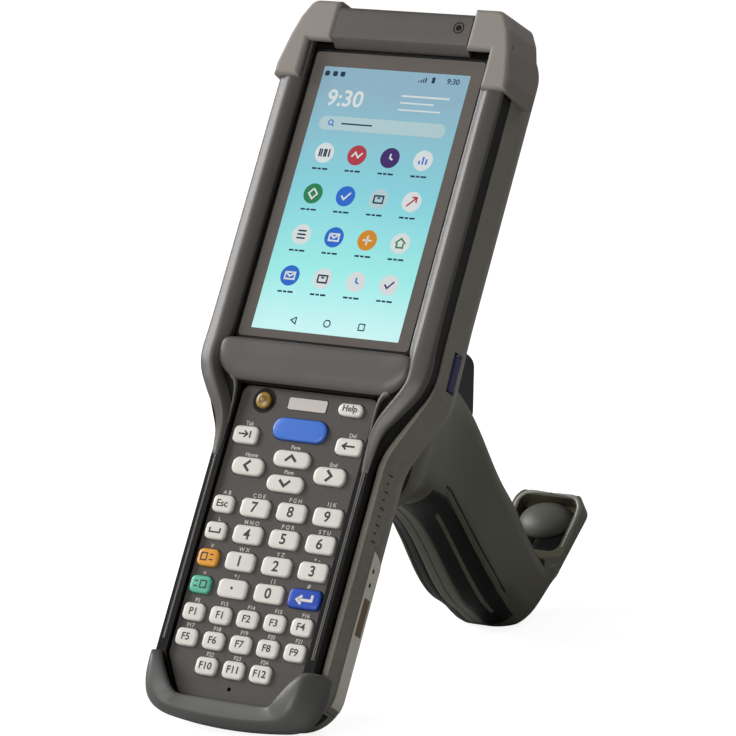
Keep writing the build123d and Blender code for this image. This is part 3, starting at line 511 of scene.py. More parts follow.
# ---------------- keypad panel print
PANEL_TOP = drawing_box("keypad_panel")[1].z
PRINT_SIZE, PRINT_RISE = 1.8, 1.05             # letter size, and its middle's place above the key
LETTERS = {"key_esc": "A B", "key_7": "C D E", "key_8": "F G H", "key_9": "I J K",
           "key_space": "L", "key_4": "M N O", "key_5": "P Q R", "key_6": "S T U",
           "key_orange": "V", "key_1": "W X", "key_2": "Y Z", "key_3": "+ -",
           "key_green": "=", "key_point": "* /", "key_0": "( )", "key_enter": "#",
           "key_tab": "Tab", "key_backspace": "Del", "key_left": "Home", "key_right": "End",
           "key_up": "Page", "key_down": "Page"}
LETTERS.update({f"key_f{n}": f"F{n + 12}" for n in range(1, 13)})
LETTERS["key_p1"] = "P2"
legends = Shape()
for name, words in LETTERS.items():
    low, high = drawing_box(name)
    legends.text(words, (low.x + high.x) / 2, high.y - KEY_LIP + PRINT_RISE, PRINT_SIZE, PANEL_TOP - INK_SINK,
                 PANEL_TOP + INK_STEP)
legends.build("panel_print", [pale_ink], slot="keypad_panel", smooth=False)

# raised black ring round the power key
SURROUND_RADIUS, SURROUND_WIDTH, SURROUND_SINK, SURROUND_STEP = 3.35, 1.2, 0.02, 0.12
low, high = drawing_box("key_power")
centre = (low + high) / 2
surround = Shape()
surround.ring(centre.x, centre.y, SURROUND_RADIUS, SURROUND_WIDTH, PANEL_TOP - SURROUND_SINK,
              PANEL_TOP + SURROUND_STEP, points=40)
surround.build("power_surround", [black], slot="inner_black", smooth=False)

# ---------------- screen picture
LAYER = 0.012                      # wallpaper, marks and figures lie one layer over another
WALL, MARKS, FIGURES = (0.0, LAYER), (LAYER, 2 * LAYER), (2 * LAYER, 3 * LAYER)
PALE, NAVY, BLUE, AMBER, ROSE, VIOLET, GREEN, CLOUD = range(1, 9)
screen_colours = [screen_light, screen_ink("pale", 238, 246, 246), screen_ink("navy", 40, 62, 92),
                  screen_ink("blue", 52, 118, 222), screen_ink("amber", 232, 152, 48),
                  screen_ink("rose", 196, 70, 84), screen_ink("violet", 74, 52, 120),
                  screen_ink("green", 52, 140, 92), screen_ink("cloud", 196, 226, 232)]
screen = Shape()
screen.prism(rounded_rect(2 * SCREEN_HALF, SCREEN_HIGH - SCREEN_LOW, 0.3,
                          centre=(0, (SCREEN_LOW + SCREEN_HIGH) / 2)), *WALL, 0)

# status line: three marks on the left, signal steps, battery and clock on the right
STATUS_Y, STATUS_FOOT = 85.0, 84.05
for x in (-24.5, -21.6, -18.9):
    screen.prism(rounded_rect(1.7, 1.7, 0.5, 2, (x, STATUS_Y)), *MARKS, NAVY)
for i in range(4):
    step = 0.5 + 0.4 * i
    screen.prism(rounded_rect(0.45, step, 0.1, 1, (8.6 + 0.8 * i, STATUS_FOOT + step / 2)), *MARKS, NAVY)
screen.prism(rounded_rect(1.1, 2.0, 0.2, 2, (13.6, STATUS_Y)), *MARKS, NAVY)
screen.text("9:30", 20.6, STATUS_Y, 2.6, *MARKS, NAVY)

# large clock with three lines beside it, and the search field under them
CLOCK_PLACE, CLOCK_SIZE, CLOCK_LINES = (-15.6, 77.0), 7.6, 4.0
screen.text("9:30", *CLOCK_PLACE, CLOCK_SIZE, *MARKS, PALE)
for line_y, line_end, width in ((79.2, 21, 0.6), (76.9, 16, 0.5), (74.6, 19, 0.5)):
    screen.stroke([(CLOCK_LINES, line_y), (line_end, line_y)], width, *MARKS, PALE)
SEARCH_Y = 68.6
screen.prism(rounded_rect(45.0, 4.6, 2.2, 8, (0, SEARCH_Y)), *MARKS, CLOUD)
screen.ring(-18.4, SEARCH_Y + 0.2, 0.8, 0.35, *FIGURES, BLUE)
screen.stroke([(-17.8, SEARCH_Y - 0.4), (-17.1, SEARCH_Y - 1.1)], 0.4, *FIGURES, BLUE)
screen.stroke([(-14.5, SEARCH_Y), (-3.5, SEARCH_Y)], 0.5, *FIGURES, NAVY)

# discs with plain signs, three dashes under each
ICON_RADIUS, ICON_STROKE = 3.35, 0.55
CAPTION_DROP, CAPTION_STROKE = 5.3, 0.6
CAPTION_DASHES = ((-2.9, -1.3), (-0.9, 0.3), (0.7, 2.6))
COLUMNS = (-17.6, -5.9, 5.9, 17.6)
signs = {
    "bars": [[(-1.2, -1.3), (-1.2, -0.1)], [(0, -1.3), (0, 1.3)], [(1.2, -1.3), (1.2, 0.6)]],
    "letter": [[(-1.7, 1.1), (1.7, 1.1), (1.7, -1.1), (-1.7, -1.1), (-1.7, 1.1)],
               [(-1.5, 0.9), (0, -0.2), (1.5, 0.9)]],
    "plus": [[(-1.6, 0), (1.6, 0)], [(0, -1.6), (0, 1.6)]],
    "zigzag": [[(-1.8, -0.6), (-0.7, 0.9), (0.5, -0.7), (1.8, 0.9)]],
    "tick": [[(-1.5, 0.1), (-0.4, -1.1), (1.6, 1.2)]],
    "list": [[(-1.5, 1.2), (1.5, 1.2)], [(-1.5, 0), (1.5, 0)], [(-1.5, -1.2), (1.5, -1.2)]],
    "codes": [[(x, -1.3), (x, 1.3)] for x in (-1.7, -1.0, 0.0, 0.6, 1.7)],
    "crate": [[(-1.6, -1.3), (-1.6, 1.0), (1.6, 1.0), (1.6, -1.3), (-1.6, -1.3)], [(-0.5, 0.3), (0.5, 0.3)]],
    "arrow": [[(-1.5, -1.5), (1.3, 1.3)], [(-0.2, 1.5), (1.5, 1.5), (1.5, -0.2)]],
    "roof": [[(-1.7, 0.0), (0, 1.6), (1.7, 0.0)], [(-1.1, 0.0), (-1.1, -1.4), (1.1, -1.4), (1.1, 0.0)]],
    "hands": [[(0, 1.4), (0, 0), (1.0, -0.6)]],
    "diamond": [[(0, 1.7), (1.5, 0), (0, -1.7), (-1.5, 0), (0, 1.7)]],
}
# height on the screen, then sign, disc colour and sign colour across it
icon_rows = [
    (58.6, [("codes", PALE, NAVY), ("zigzag", ROSE, PALE), ("hands", VIOLET, PALE), ("bars", PALE, BLUE)]),
    (45.0, [("diamond", GREEN, PALE), ("tick", BLUE, PALE), ("crate", CLOUD, NAVY), ("arrow", PALE, ROSE)]),
    (31.4, [("list", PALE, NAVY), ("letter", BLUE, PALE), ("plus", AMBER, PALE), ("roof", PALE, GREEN)]),
    (17.8, [("letter", BLUE, PALE), ("crate", PALE, NAVY), ("hands", PALE, BLUE), ("tick", PALE, VIOLET)]),
]
for row_y, icons in icon_rows:
    for x, (sign, ground, figure) in zip(COLUMNS, icons):
        screen.disc(x, row_y, ICON_RADIUS, *MARKS, ground, 32)
        for line in signs[sign]:
            screen.stroke([(x + px, row_y + py) for px, py in line], ICON_STROKE, *FIGURES, figure)
        for start, end in CAPTION_DASHES:
            screen.stroke([(x + start, row_y - CAPTION_DROP), (x + end, row_y - CAPTION_DROP)],
                          CAPTION_STROKE, *MARKS, NAVY)

# back, home and overview signs at the foot
FOOT_Y, FOOT_STROKE = 3.6, 0.4
for x, points in ((-12.0, [(0.9, 1.1), (-0.9, 0), (0.9, -1.1), (0.9, 1.1)]),
                  (12.2, [(-1, 1), (1, 1), (1, -1), (-1, -1), (-1, 1)])):
    screen.stroke([(x + px, FOOT_Y + py) for px, py in points], FOOT_STROKE, *MARKS, NAVY)
screen.ring(0, FOOT_Y, 1.1, FOOT_STROKE, *MARKS, NAVY)
screen.build("screen_picture", screen_colours, slot="display_glass", smooth=False)

# black line round the edge of the glass: painted shade of the gap's wall between glass and rails, over the
# black frame that shows in that gap
BORDER_LINE, BORDER_CORNER, BORDER_STEP = 0.9, 1.6, 0.02
low, high = drawing_box("display_glass")
border = Shape()
border.stroke(rounded_rect(high.x - low.x - BORDER_LINE, high.y - low.y - BORDER_LINE, BORDER_CORNER, 5,
                           (0, (low.y + high.y) / 2)), BORDER_LINE, 0.0, BORDER_STEP, closed=True)
# painted shade of the gap round the glass
border.build("glass_gap_shade_line", [black], slot="display_glass", smooth=False)

# ---------------- front housing
SEAT = -0.4                        # level of the inner frame's top, which the front housing sits on

# One rail: y, then x and z of its inner foot, x and z of its crest, x and z of its outer
# shoulder, and how low its outer side comes
RAIL_STATIONS = [
    (98.0, 31.6, 1.7, 34.2, 2.15, 36.8, 1.7, 0.9),
    (91.0, 31.6, 1.8, 35.0, 2.15, 38.6, 1.7, 0.9),
    (84.0, 31.6, 1.8, 35.2, 2.15, 39.3, 1.7, 0.9),
    (80.0, 31.6, 1.85, 35.2, 3.3, 39.5, 2.3, 0.9),
    (40.0, 31.6, 1.85, 35.2, 3.35, 39.5, 2.3, 0.9),
    (12.0, 31.6, 1.85, 35.2, 3.35, 39.5, 2.3, 0.7),
    (-1.0, 31.7, 1.85, 35.1, 3.4, 39.6, 2.3, 0.2),
    (-5.0, 32.3, 1.7, 34.9, 3.4, 39.75, 2.3, -0.3),
    (-9.0, 32.9, 1.1, 34.9, 3.4, 39.8, 2.3, -0.4),
    (-12.5, 32.7, 0.4, 34.5, 3.35, 39.3, 2.3, -0.4),
    (-16.0, 31.2, 0.0, 33.1, 3.2, 38.1, 2.05, -0.4),
    (-19.5, 28.8, -0.2, 31.2, 3.0, 36.0, 2.0, -0.4),
    (-24.0, 26.3, -0.3, 28.6, 2.6, 32.9, 1.7, -0.4),
    (-28.0, 25.2, -0.3, 26.8, 1.9, 30.0, 1.1, -0.4),
    (-32.0, 24.9, -0.3, 26.1, 1.1, 28.6, 0.5, -0.4),
    (-36.5, 25.0, -0.32, 26.0, 0.4, 27.9, 0.0, -0.4),
    (-41.0, 25.4, -0.36, 26.1, 0.0, 27.3, -0.25, -0.4),
    (-46.0, 25.75, -0.39, 26.05, -0.2, 26.5, -0.34, -0.4),
    (-100.0, 25.75, -0.39, 26.05, -0.2, 26.5, -0.34, -0.4),
]
RAIL_FLOOR = -0.42
RAIL_STEPS = 6


def rail_rings(side):
    """Sections of one rail, from under the top bumper down beside the keypad."""
    rings = []
    for y, foot_x, foot_z, crest_x, crest_z, out_x, out_z, side_z in flow(RAIL_STATIONS, RAIL_STEPS):
        roll = 0.18 * (out_x - crest_x)
        lip = 0.12 * (crest_x - foot_x)
        drop = max(0.05, 0.35 * (foot_z - RAIL_FLOOR))
        section = [
            (foot_x, RAIL_FLOOR), (foot_x, foot_z - drop), (foot_x + 0.25 * lip, foot_z - 0.25 * drop),
            (foot_x + lip, foot_z + 0.08 * (crest_z - foot_z)),
            (foot_x + 0.45 * (crest_x - foot_x), foot_z + 0.62 * (crest_z - foot_z)),
            (crest_x - 0.12 * (crest_x - foot_x), crest_z - 0.05 * (crest_z - foot_z)), (crest_x, crest_z),
            (crest_x + 0.3 * (out_x - crest_x), crest_z - 0.12 * (crest_z - out_z)),
            (out_x - roll, out_z + 0.12 * (crest_z - out_z)), (out_x - 0.35 * roll, out_z - 0.06),
            (out_x + 0.1, out_z - 0.35 * roll), (out_x + 0.25, max(side_z + 0.1, out_z - roll)),
            (out_x + 0.25, side_z), (out_x - 0.3, side_z - 0.02),
        ]
        rings.append([(side * x, y, z) for x, z in section])
    return rings


housing_form = Shape()
for side in (-1, 1):
    housing_form.add(*skin(rail_rings(side)))

# header between the top bumpers: bevel above the glass, flat face, rounded far edge
HEADER_HALF, HEADER_TOP = 24.1, 4.0
header_profile = [(93.45, SEAT), (93.45, 0.4), (93.9, 1.3), (95.4, 3.7), (95.9, HEADER_TOP),
                  (104.6, HEADER_TOP), (105.4, 3.8), (105.95, 3.2), (106.15, 2.4), (106.2, SEAT)]
housing_form.add(*skin([[(x, y, z) for y, z in header_profile] for x in (-HEADER_HALF, HEADER_HALF)]))

# rounded bar between screen and keypad: x, then y of its two edges, crown height and edge height
BAR_STATIONS = [
    (0.0, -4.05, -17.05, 2.75, 1.3),
    (22.0, -4.05, -17.1, 2.75, 1.3),
    (26.5, -4.05, -16.9, 2.8, 1.3),
    (29.5, -4.1, -15.6, 2.85, 1.4),
    (31.6, -4.35, -13.9, 2.85, 1.6),
    (32.9, -4.9, -12.0, 2.7, 1.9),
    (33.5, -6.2, -10.2, 2.3, 2.0),
]


def bar_rings():
    """Sections of the bar from its left end to its right end."""
    half = []
    for x, high, low, crown, edge in flow(BAR_STATIONS, 5):
        depth = high - low
        section = [
            (high, SEAT), (high, crown - 0.95), (high - 0.03 * depth, crown - 0.45),
            (high - 0.07 * depth, crown - 0.22), (high - 0.14 * depth, crown - 0.08),
            (high - 0.3 * depth, crown), (high - 0.5 * depth, crown - 0.06),
            (high - 0.68 * depth, crown - 0.3), (high - 0.82 * depth, crown - 0.68),
            (high - 0.93 * depth, edge - 0.02), (high - 0.985 * depth, edge - 0.45), (low, edge - 0.95),
            (low, edge - 1.4), (low + 0.3, edge - 1.5), (low + 0.3, SEAT),
        ]
        half.append([(x, y, max(z, SEAT)) for y, z in section])
    return [[(-x, y, z) for x, y, z in ring] for ring in half[:0:-1]] + half


housing_form.add(*skin(bar_rings()))

# thin lip that runs on from the bar's corner beside the keypad opening: x, y, width and height
LIP_STATIONS = [(-27.6, -15.9, 1.9, 1.2), (-26.2, -17.4, 1.4, 1.1), (-25.4, -19.6, 1.0, 0.9),
                (-25.05, -23.0, 0.85, 0.6), (-24.95, -27.0, 0.7, 0.3), (-24.95, -31.0, 0.5, 0.0)]
for side in (-1, 1):
    rings = []
    stations = flow(LIP_STATIONS, 4)
    for i, (x, y, width, height) in enumerate(stations):
        ahead, behind = stations[min(i + 1, len(stations) - 1)], stations[max(i - 1, 0)]
        along = Vector((ahead[0] - behind[0], ahead[1] - behind[1])).normalized()
        section = [(-0.5, SEAT), (-0.5, height - 0.35), (-0.3, height - 0.05), (0, height),
                   (0.3, height - 0.05), (0.5, height - 0.35), (0.5, SEAT)]
        rings.append([(-side * (x - along.y * o * width), y + along.x * o * width, z) for o, z in section])
    housing_form.add(*skin(rings))
HOUSING_CREASE = math.radians(50)
front_form = housing_form.build("front_housing_form", [housing], slot="housing_grey",
                                replaces=["front_housing"])
front_form.data.set_sharp_from_angle(angle=HOUSING_CREASE)

# black side wall between the rails and the rear housing, and the dark slot under the bar
TRIM_END, TRIM_FOOT, TRIM_DEPTH, TRIM_PROUD = -46.0, -4.45, 1.5, 0.02
trim = Shape()
for side in (-1, 1):
    rings = []
    for y, _, _, _, _, out_x, _, side_z in flow(RAIL_STATIONS, RAIL_STEPS):
        if y < TRIM_END:
            break
        face = out_x + TRIM_PROUD
        section = [(face, side_z + 0.05), (face, TRIM_FOOT), (out_x - TRIM_DEPTH, TRIM_FOOT),
                   (out_x - TRIM_DEPTH, side_z - 0.1)]
        rings.append([(side * x, y, z) for x, z in section])
    trim.add(*skin(rings))
SLOT_HALF, SLOT_SECTION = 25.5, ((-16.6, -1.9), (-16.6, 0.6), (-12.0, 0.6), (-12.0, -1.9))
trim.add(*skin([[(x, y, z) for y, z in SLOT_SECTION] for x in (-SLOT_HALF, SLOT_HALF)]))
trim.build("side_trim", [black], slot="inner_black", smooth=False)

# light sensor in the header
SENSOR_PLACE = (19.8, 101.2)
sensor = Shape()
sensor.ring(*SENSOR_PLACE, 1.7, 0.35, HEADER_TOP - 0.02, HEADER_TOP + 0.05, points=32)
sensor.disc(*SENSOR_PLACE, 1.0, HEADER_TOP - 0.02, HEADER_TOP + 0.04)
sensor.build("light_sensor", [black], slot="inner_black", smooth=False)


# ---------------- strips laid on the CAD surface
def surface_of(name):
    """Search tree over a CAD node's faces, in the drawing frame."""
    mesh = nodes[name].data
    return BVHTree.FromPolygons([TO_DRAWING @ v.co for v in mesh.vertices],
                                [tuple(polygon.vertices) for polygon in mesh.polygons])


RAY_REACH = 80.0                   # farther than any ray starts from the surface it looks for


def landing(tree, start, aim):
    """Where a ray meets the surface, and the surface's way out there; None where it misses."""
    aim = Vector(aim).normalized()
    hit, normal, _, _ = tree.ray_cast(Vector(start), aim, RAY_REACH)
    return None if hit is None else (hit, normal if normal.dot(aim) < 0 else -normal)


def laid_strip(shape, tree, line, aim, width, proud, points):
    """Low rounded strip on a surface: line holds start points off it, aim is the way to the surface."""
    spots = [landing(tree, row, aim) for row in flow(line, max(2, points // (len(line) - 1)))]
    path = [spot for spot in spots if spot]
    section = [(-0.5, 0.0), (-0.38, 0.7), (-0.15, 1.0), (0.15, 1.0), (0.38, 0.7), (0.5, 0.0)]
    sink, least_width, taper = 0.15, 0.35, 3.0
    rings = []
    for i, (place, normal) in enumerate(path):
        along = (path[min(i + 1, len(path) - 1)][0] - path[max(i - 1, 0)][0]).normalized()
        across = along.cross(normal).normalized() * width
        fade = min(1.0, least_width + taper * min(i, len(path) - 1 - i) / len(path))
        rings.append([tuple(place + across * (o * fade) + normal * (proud * rise - sink))
                      for o, rise in section])
    shape.add(*skin(rings))


def laid_patch(shape, tree, rows, proud, mark=0, fade=1):
    """Thin sheet on a surface; rows hold (start point off the surface, way to it), its border dips under.
    It rises to its height over the number of rows in fade at both ends."""
    depth, end_sink = 0.15, 0.1
    grid = [[landing(tree, start, aim) for start, aim in row] for row in rows]
    grid = [line for line in grid if all(line)]
    rings = []
    for i, line in enumerate(grid):
        end_row = i in (0, len(grid) - 1)
        rise = proud * min(1.0, min(i, len(grid) - 1 - i) / fade)
        heights = [-end_sink] * len(line) if end_row else [0.0] + [rise] * (len(line) - 2) + [0.0]
        top = [hit + normal * height for (hit, normal), height in zip(line, heights)]
        below = [hit - normal * depth for hit, normal in reversed(line)]
        rings.append([tuple(v) for v in top + below])
    shape.add(*skin(rings), mark)


# ---------------- handle: dark palm insert with painted shade, painted shade along the side groove, painted highlight strip on the palm, ribs
# middle of the grip at each level: z, y
GRIP_LINE = [(-56.0, -11.3), (-74.0, -11.4), (-101.0, -21.3), (-122.0, -28.2), (-135.0, -31.5),
             (-146.0, -31.0)]
GRIP_CLEAR = 45.0                  # rays start this far from the middle
# black sheets on the grip: the dark palm insert with the shade of its downward face painted in, and a line of
# painted shade along the side groove; angles from the palm side round towards the trigger, levels from and
# to, columns, height
DARK_INSERT_AND_SHADE_PATCHES = [(11.0, 44.0, -62.0, -137.5, 8, 0.12), (50.0, 52.5, -70.0, -126.0, 3, 0.1)]
# raised strip down the middle of the palm, in the lighter colour of a painted highlight
PALM_HIGHLIGHT_PATCH, PALM_FADE = (0.4, 10.0, -58.0, -138.0, 5, 0.5), 10
RIB_PATCHES, RIB_FADE = [(26.0, 30.0, -76.0, -130.0, 4, 0.7), (44.5, 49.5, -72.0, -130.0, 4, 0.6)], 7
HANDLE_SHELLS = ((1, "handle_shell_right"), (-1, "handle_shell_left"))


def grip_middle(z):
    """Y of the middle of the grip at a level."""
    for (z0, y0), (z1, y1) in zip(GRIP_LINE, GRIP_LINE[1:]):
        if z >= z1:
            return y0 + (y1 - y0) * (z0 - z) / (z0 - z1)
    return GRIP_LINE[-1][1]


def grip_patch(shape, tree, side, angle_from, angle_to, z_from, z_to, columns, proud, mark=0, fade=1):
    """Sheet on the grip between two angles and two levels."""
    rows = []
    for z in between(z_from, z_to, 26):
        row = []
        for angle in between(angle_from, angle_to, columns):
            a = math.radians(angle)
            out = Vector((side * math.sin(a), -math.cos(a), 0.0))
            row.append((Vector((0, grip_middle(z), z)) + out * GRIP_CLEAR, -out))
        rows.append(row)
    laid_patch(shape, tree, rows, proud, mark, fade)


for side, name in HANDLE_SHELLS:
    tree = surface_of(name)
    dark_insert_and_shade, ribs = Shape(), Shape()
    for numbers in DARK_INSERT_AND_SHADE_PATCHES:
        grip_patch(dark_insert_and_shade, tree, side, *numbers)
    grip_patch(ribs, tree, side, *PALM_HIGHLIGHT_PATCH, 1, PALM_FADE)
    for numbers in RIB_PATCHES:
        grip_patch(ribs, tree, side, *numbers, fade=RIB_FADE)
    # black sheets: the dark palm insert with its downward shade painted in, and painted shade along the side
    # groove
    dark_insert_and_shade.build(f"{name}_channels", [black], slot="handle_plastic")
    # ribs, and the palm strip whose lighter colour is a painted highlight
    ribs.build(f"{name}_ribs", [handle_skin, palm_highlight_skin], slot="handle_plastic")

# toe: pale strip round the dish as a painted highlight on its rim, a black sheet of painted shade on the dish
# floor, and a rubber dome in it
TOE_START = Vector((0, -24.6, -156.7))
TOE_ALONG, TOE_OUT = Vector((0, 0.9155, -0.4023)), Vector((0, 0.4023, 0.9155))
TOE_CLEAR = 30.0                   # rays start this far off the sole
RIM_LINE = [(10.0, 11.9), (17.0, 11.9), (24.5, 11.9), (27.5, 11.2), (29.6, 9.2), (30.3, 6.0), (30.3, 0.6)]
RIM_WIDTH, RIM_PROUD = 1.5, 0.35
DISH_MIDDLE, DISH_HALF, DISH_START, DISH_END = 0.03, 10.2, 7.9, 27.0


def on_toe(along, x, out):
    """A point over the toe's sole: distance from the heel end, sideways, and off the sole."""
    return TOE_START + TOE_ALONG * along + TOE_OUT * out + Vector((x, 0, 0))


for side, name in HANDLE_SHELLS:
    tree = surface_of(name)
    rim = Shape()
    line = [on_toe(along, side * x, TOE_CLEAR) for along, x in RIM_LINE]
    # pale strip along the rim: painted highlight
    laid_strip(rim, tree, line, -TOE_OUT, RIM_WIDTH, RIM_PROUD, 60)
    # black sheet over the dish floor: painted shade
    laid_patch(rim, tree, [[(on_toe(along, side * x, TOE_CLEAR), -TOE_OUT)
                            for x in between(DISH_MIDDLE, DISH_HALF, 4)]
                           for along in between(DISH_START, DISH_END, 6)], 0.15, 1)
    # the rim's painted highlight and the dish's painted shade, in one piece
    rim.build(f"{name}_toe_rim", [toe_rim_highlight_skin, black], slot="handle_plastic")

DOME_PLACE, DOME_SIZE = (21.6, 0.2, 1.2), (7.9, 10.0, 4.6)         # along, sideways, off the sole
DOME_POINTS = 28
rings = []
for k in range(6):
    a = math.radians(15 * k)
    turns = [t * math.tau / DOME_POINTS for t in range(DOME_POINTS)]
    rings.append([tuple(on_toe(DOME_PLACE[0] + DOME_SIZE[0] * math.cos(a) * math.sin(t),
                               DOME_PLACE[1] + DOME_SIZE[1] * math.cos(a) * math.cos(t),
                               DOME_PLACE[2] + DOME_SIZE[2] * math.sin(a))) for t in turns])
dome = Shape()
dome.add(*skin(rings))
dome.build("toe_dome", [dome_skin], slot="handle_plastic")

# ---------------- battery label and side ticks
SIDE_CLEAR = 60.0                  # rays at the side and the back start this far out
EDGE_X, EDGE_Z, EDGE_RADIUS, EDGE_CLEAR = 20.0, -14.8, 10.0, 40.0
LABEL_TOP, LABEL_BOTTOM = -61.4, -110.5
LABEL_EDGE, LABEL_SLANT = -12.0, 0.43          # its edge by the case, and how the top follows the slant
# heights on the flat side, then angles round its lower edge, in degrees
LABEL_FLAT, LABEL_ROUND = (LABEL_EDGE, -12.2, -13.5), (0.0, 8.0, 16.0, 24.0, 32.0, 39.0, 45.0, 47.0)
MARK_SPANS, BAR_SPAN, BAR_ROUND = ((-66.6, -68.2), (-71.0, -72.6)), (-75.5, -88.0), (5.0, 11.0, 13.0)


def side_ray(y, z, side=1):
    """Ray at the flat side."""
    return (side * SIDE_CLEAR, y, z), (-side, 0.0, 0.0)


def edge_ray(y, angle):
    """Ray at the rounded lower edge of the right side."""
    a = math.radians(angle)
    start = (EDGE_X + EDGE_CLEAR * math.cos(a), y, EDGE_Z - EDGE_CLEAR * math.sin(a))
    return start, (-math.cos(a), 0.0, math.sin(a))


def side_rows(y_from, y_to, z_from, z_to, steps=2, columns=2, side=1):
    """Rays at a rectangle of the flat side."""
    return [[side_ray(y, z, side) for z in between(z_from, z_to, columns)]
            for y in between(y_from, y_to, steps)]


def label_y(z, share):
    """Y at a height and a share of the way from the label's slanted top to its foot."""
    top = LABEL_TOP + LABEL_SLANT * (z - LABEL_EDGE)
    return top + (LABEL_BOTTOM - top) * share


tree = surface_of("battery_pack")
label = Shape()
label_rows = []
for share in between(0.0, 1.0, 26):
    flat = [side_ray(label_y(z, share), z) for z in LABEL_FLAT]
    edge = [edge_ray(label_y(EDGE_Z - EDGE_RADIUS * math.sin(math.radians(angle)), share), angle)
            for angle in LABEL_ROUND]
    label_rows.append(flat + edge)
laid_patch(label, tree, label_rows, 0.16, 0)
for y_from, y_to in MARK_SPANS:
    laid_patch(label, tree, side_rows(y_from, y_to, -13.3, -14.6), 0.22, 1)
bar_rows = [[side_ray(y, z) for z in between(-12.9, -14.7, 3)] + [edge_ray(y, angle) for angle in BAR_ROUND]
            for y in between(*BAR_SPAN, 6)]
laid_patch(label, tree, bar_rows, 0.24, 2)
label.build("battery_label", [label_skin, ink, label_brown], slot="battery_case")

# short and long ticks down the side of the case
TICK_START, TICK_PITCH, TICK_WIDTH, TICK_HIGH = -38.5, 2.6, 0.55, -8.2
tree = surface_of("rear_housing")
ticks = Shape()
for i in range(9):
    y = TICK_START - TICK_PITCH * i
    length = 1.6 if i % 2 else 2.6
    laid_patch(ticks, tree, side_rows(y, y - TICK_WIDTH, TICK_HIGH, TICK_HIGH - length), 0.1)
ticks.build("side_ticks", [ink], slot="band_grey")

# dark foot of the case, under the bottom bumper's ends
foot = Shape()
for side in (-1, 1):
    laid_patch(foot, tree, side_rows(-112.8, -116.6, -8.4, -14.5, 4, 4, side), 0.12)
foot.build("case_foot", [black], slot="band_grey")

# ---------------- back of the battery: latch and finger ribs
BACK_CLEAR = -80.0
LATCH_TOP, LATCH_FOOT, LATCH_HALF = -71.5, -75.5, 7.5
GROOVE, GROOVE_HALF = 1.0, 9.0             # black groove round the latch
FINGER_TOP, FINGER_PITCH, FINGER_WIDTH, FINGER_HALF = -98.0, 2.4, 1.1, 12.0


def back_rows(half_width, y_from, y_to, columns=4, steps=4):
    """Rays from behind the terminal at a rectangle in the middle of its back."""
    return [[((x, y, BACK_CLEAR), (0.0, 0.0, 1.0)) for x in between(-half_width, half_width, columns)]
            for y in between(y_from, y_to, steps)]


tree = surface_of("battery_pack")
latch = Shape()
laid_patch(latch, tree, back_rows(GROOVE_HALF, LATCH_TOP + GROOVE, LATCH_FOOT - GROOVE), 0.1, 1)
laid_patch(latch, tree, back_rows(LATCH_HALF, LATCH_TOP, LATCH_FOOT), 0.8, 0)
for i in range(5):
    y = FINGER_TOP - FINGER_PITCH * i
    laid_patch(latch, tree, back_rows(FINGER_HALF, y, y - FINGER_WIDTH, 6, 3), 0.5, 0)
latch.build("battery_latch", [band, black], slot="battery_case")

# ---------------- bottom bumper
# outer (x, y), inner (x, y), ridge height, outer slope's run, inner top's height
BUMPER_STATIONS = [
    ((30.7, -103.4), (27.2, -103.2), -3.2, 0.2, -3.2),
    ((30.8, -104.3), (25.2, -103.6), 0.6, 2.0, -0.6),
    ((30.8, -106.2), (24.4, -105.0), 2.9, 3.4, 1.6),
    ((30.8, -109.6), (22.9, -107.2), 3.4, 3.9, 2.6),
    ((30.6, -113.4), (20.8, -110.3), 3.4, 4.1, 2.7),
    ((29.5, -117.0), (18.7, -113.4), 3.1, 4.0, 2.3),
    ((27.0, -119.6), (17.2, -115.3), 2.3, 3.4, 1.4),
    ((23.6, -121.3), (15.9, -115.95), 1.3, 2.4, 0.6),
    ((18.6, -122.0), (14.0, -115.95), 0.85, 1.7, 0.35),
    ((12.0, -122.75), (10.0, -115.95), 0.8, 1.6, 0.3),
    ((5.0, -123.15), (5.0, -115.95), 0.8, 1.6, 0.3),
    ((0.0, -123.2), (0.0, -115.95), 0.8, 1.6, 0.3),
]
BUMPER_FOOT, BUMPER_SHOULDER = -8.0, -4.6      # its outside stands upright between these
BUMPER_LEDGE, BUMPER_WALL, BUMPER_FLOOR = -0.33, 1.3, -4.45


def bumper_rings():
    """Closed sections of the bottom bumper, from the top of one lobe round the end to the other."""
    rings = []
    for (ox, oy), (ix, iy), ridge, run, inner_top in BUMPER_STATIONS:
        span = math.hypot(ix - ox, iy - oy)
        rise = ridge - BUMPER_SHOULDER
        section = [
            (0.0, BUMPER_FOOT), (0.0, -6.2), (0.05, BUMPER_SHOULDER),
            (0.16 * run, BUMPER_SHOULDER + 0.22 * rise), (0.5 * run, BUMPER_SHOULDER + 0.54 * rise),
            (0.8 * run, BUMPER_SHOULDER + 0.82 * rise), (1.15 * run, ridge),
            (min(1.9 * run, 0.72 * span), ridge), (span - 0.55, inner_top + 0.45 * (ridge - inner_top)),
            (span - 0.1, inner_top - 0.35), (span, -0.3), (min(3.75, 0.6 * span), BUMPER_LEDGE),
            (min(3.7, 0.58 * span), -4.4), (BUMPER_WALL, BUMPER_FLOOR), (BUMPER_WALL, BUMPER_FOOT),
        ]
        ux, uy = (ix - ox) / span, (iy - oy) / span
        rings.append([(ox + ux * across, oy + uy * across, z) for across, z in section])
    mirror = [[(-x, y, z) for x, y, z in ring] for ring in rings[-2::-1]]
    return rings + mirror


bumper_mesh = piece_from("bottom_bumper_form", *skin(bumper_rings()), [bumper_dark], slot="bumper_rubber",
                         replaces=["bottom_bumper"])
surface = bumper_mesh.modifiers.new("surface", "SUBSURF")
surface.levels = surface.render_levels = 2

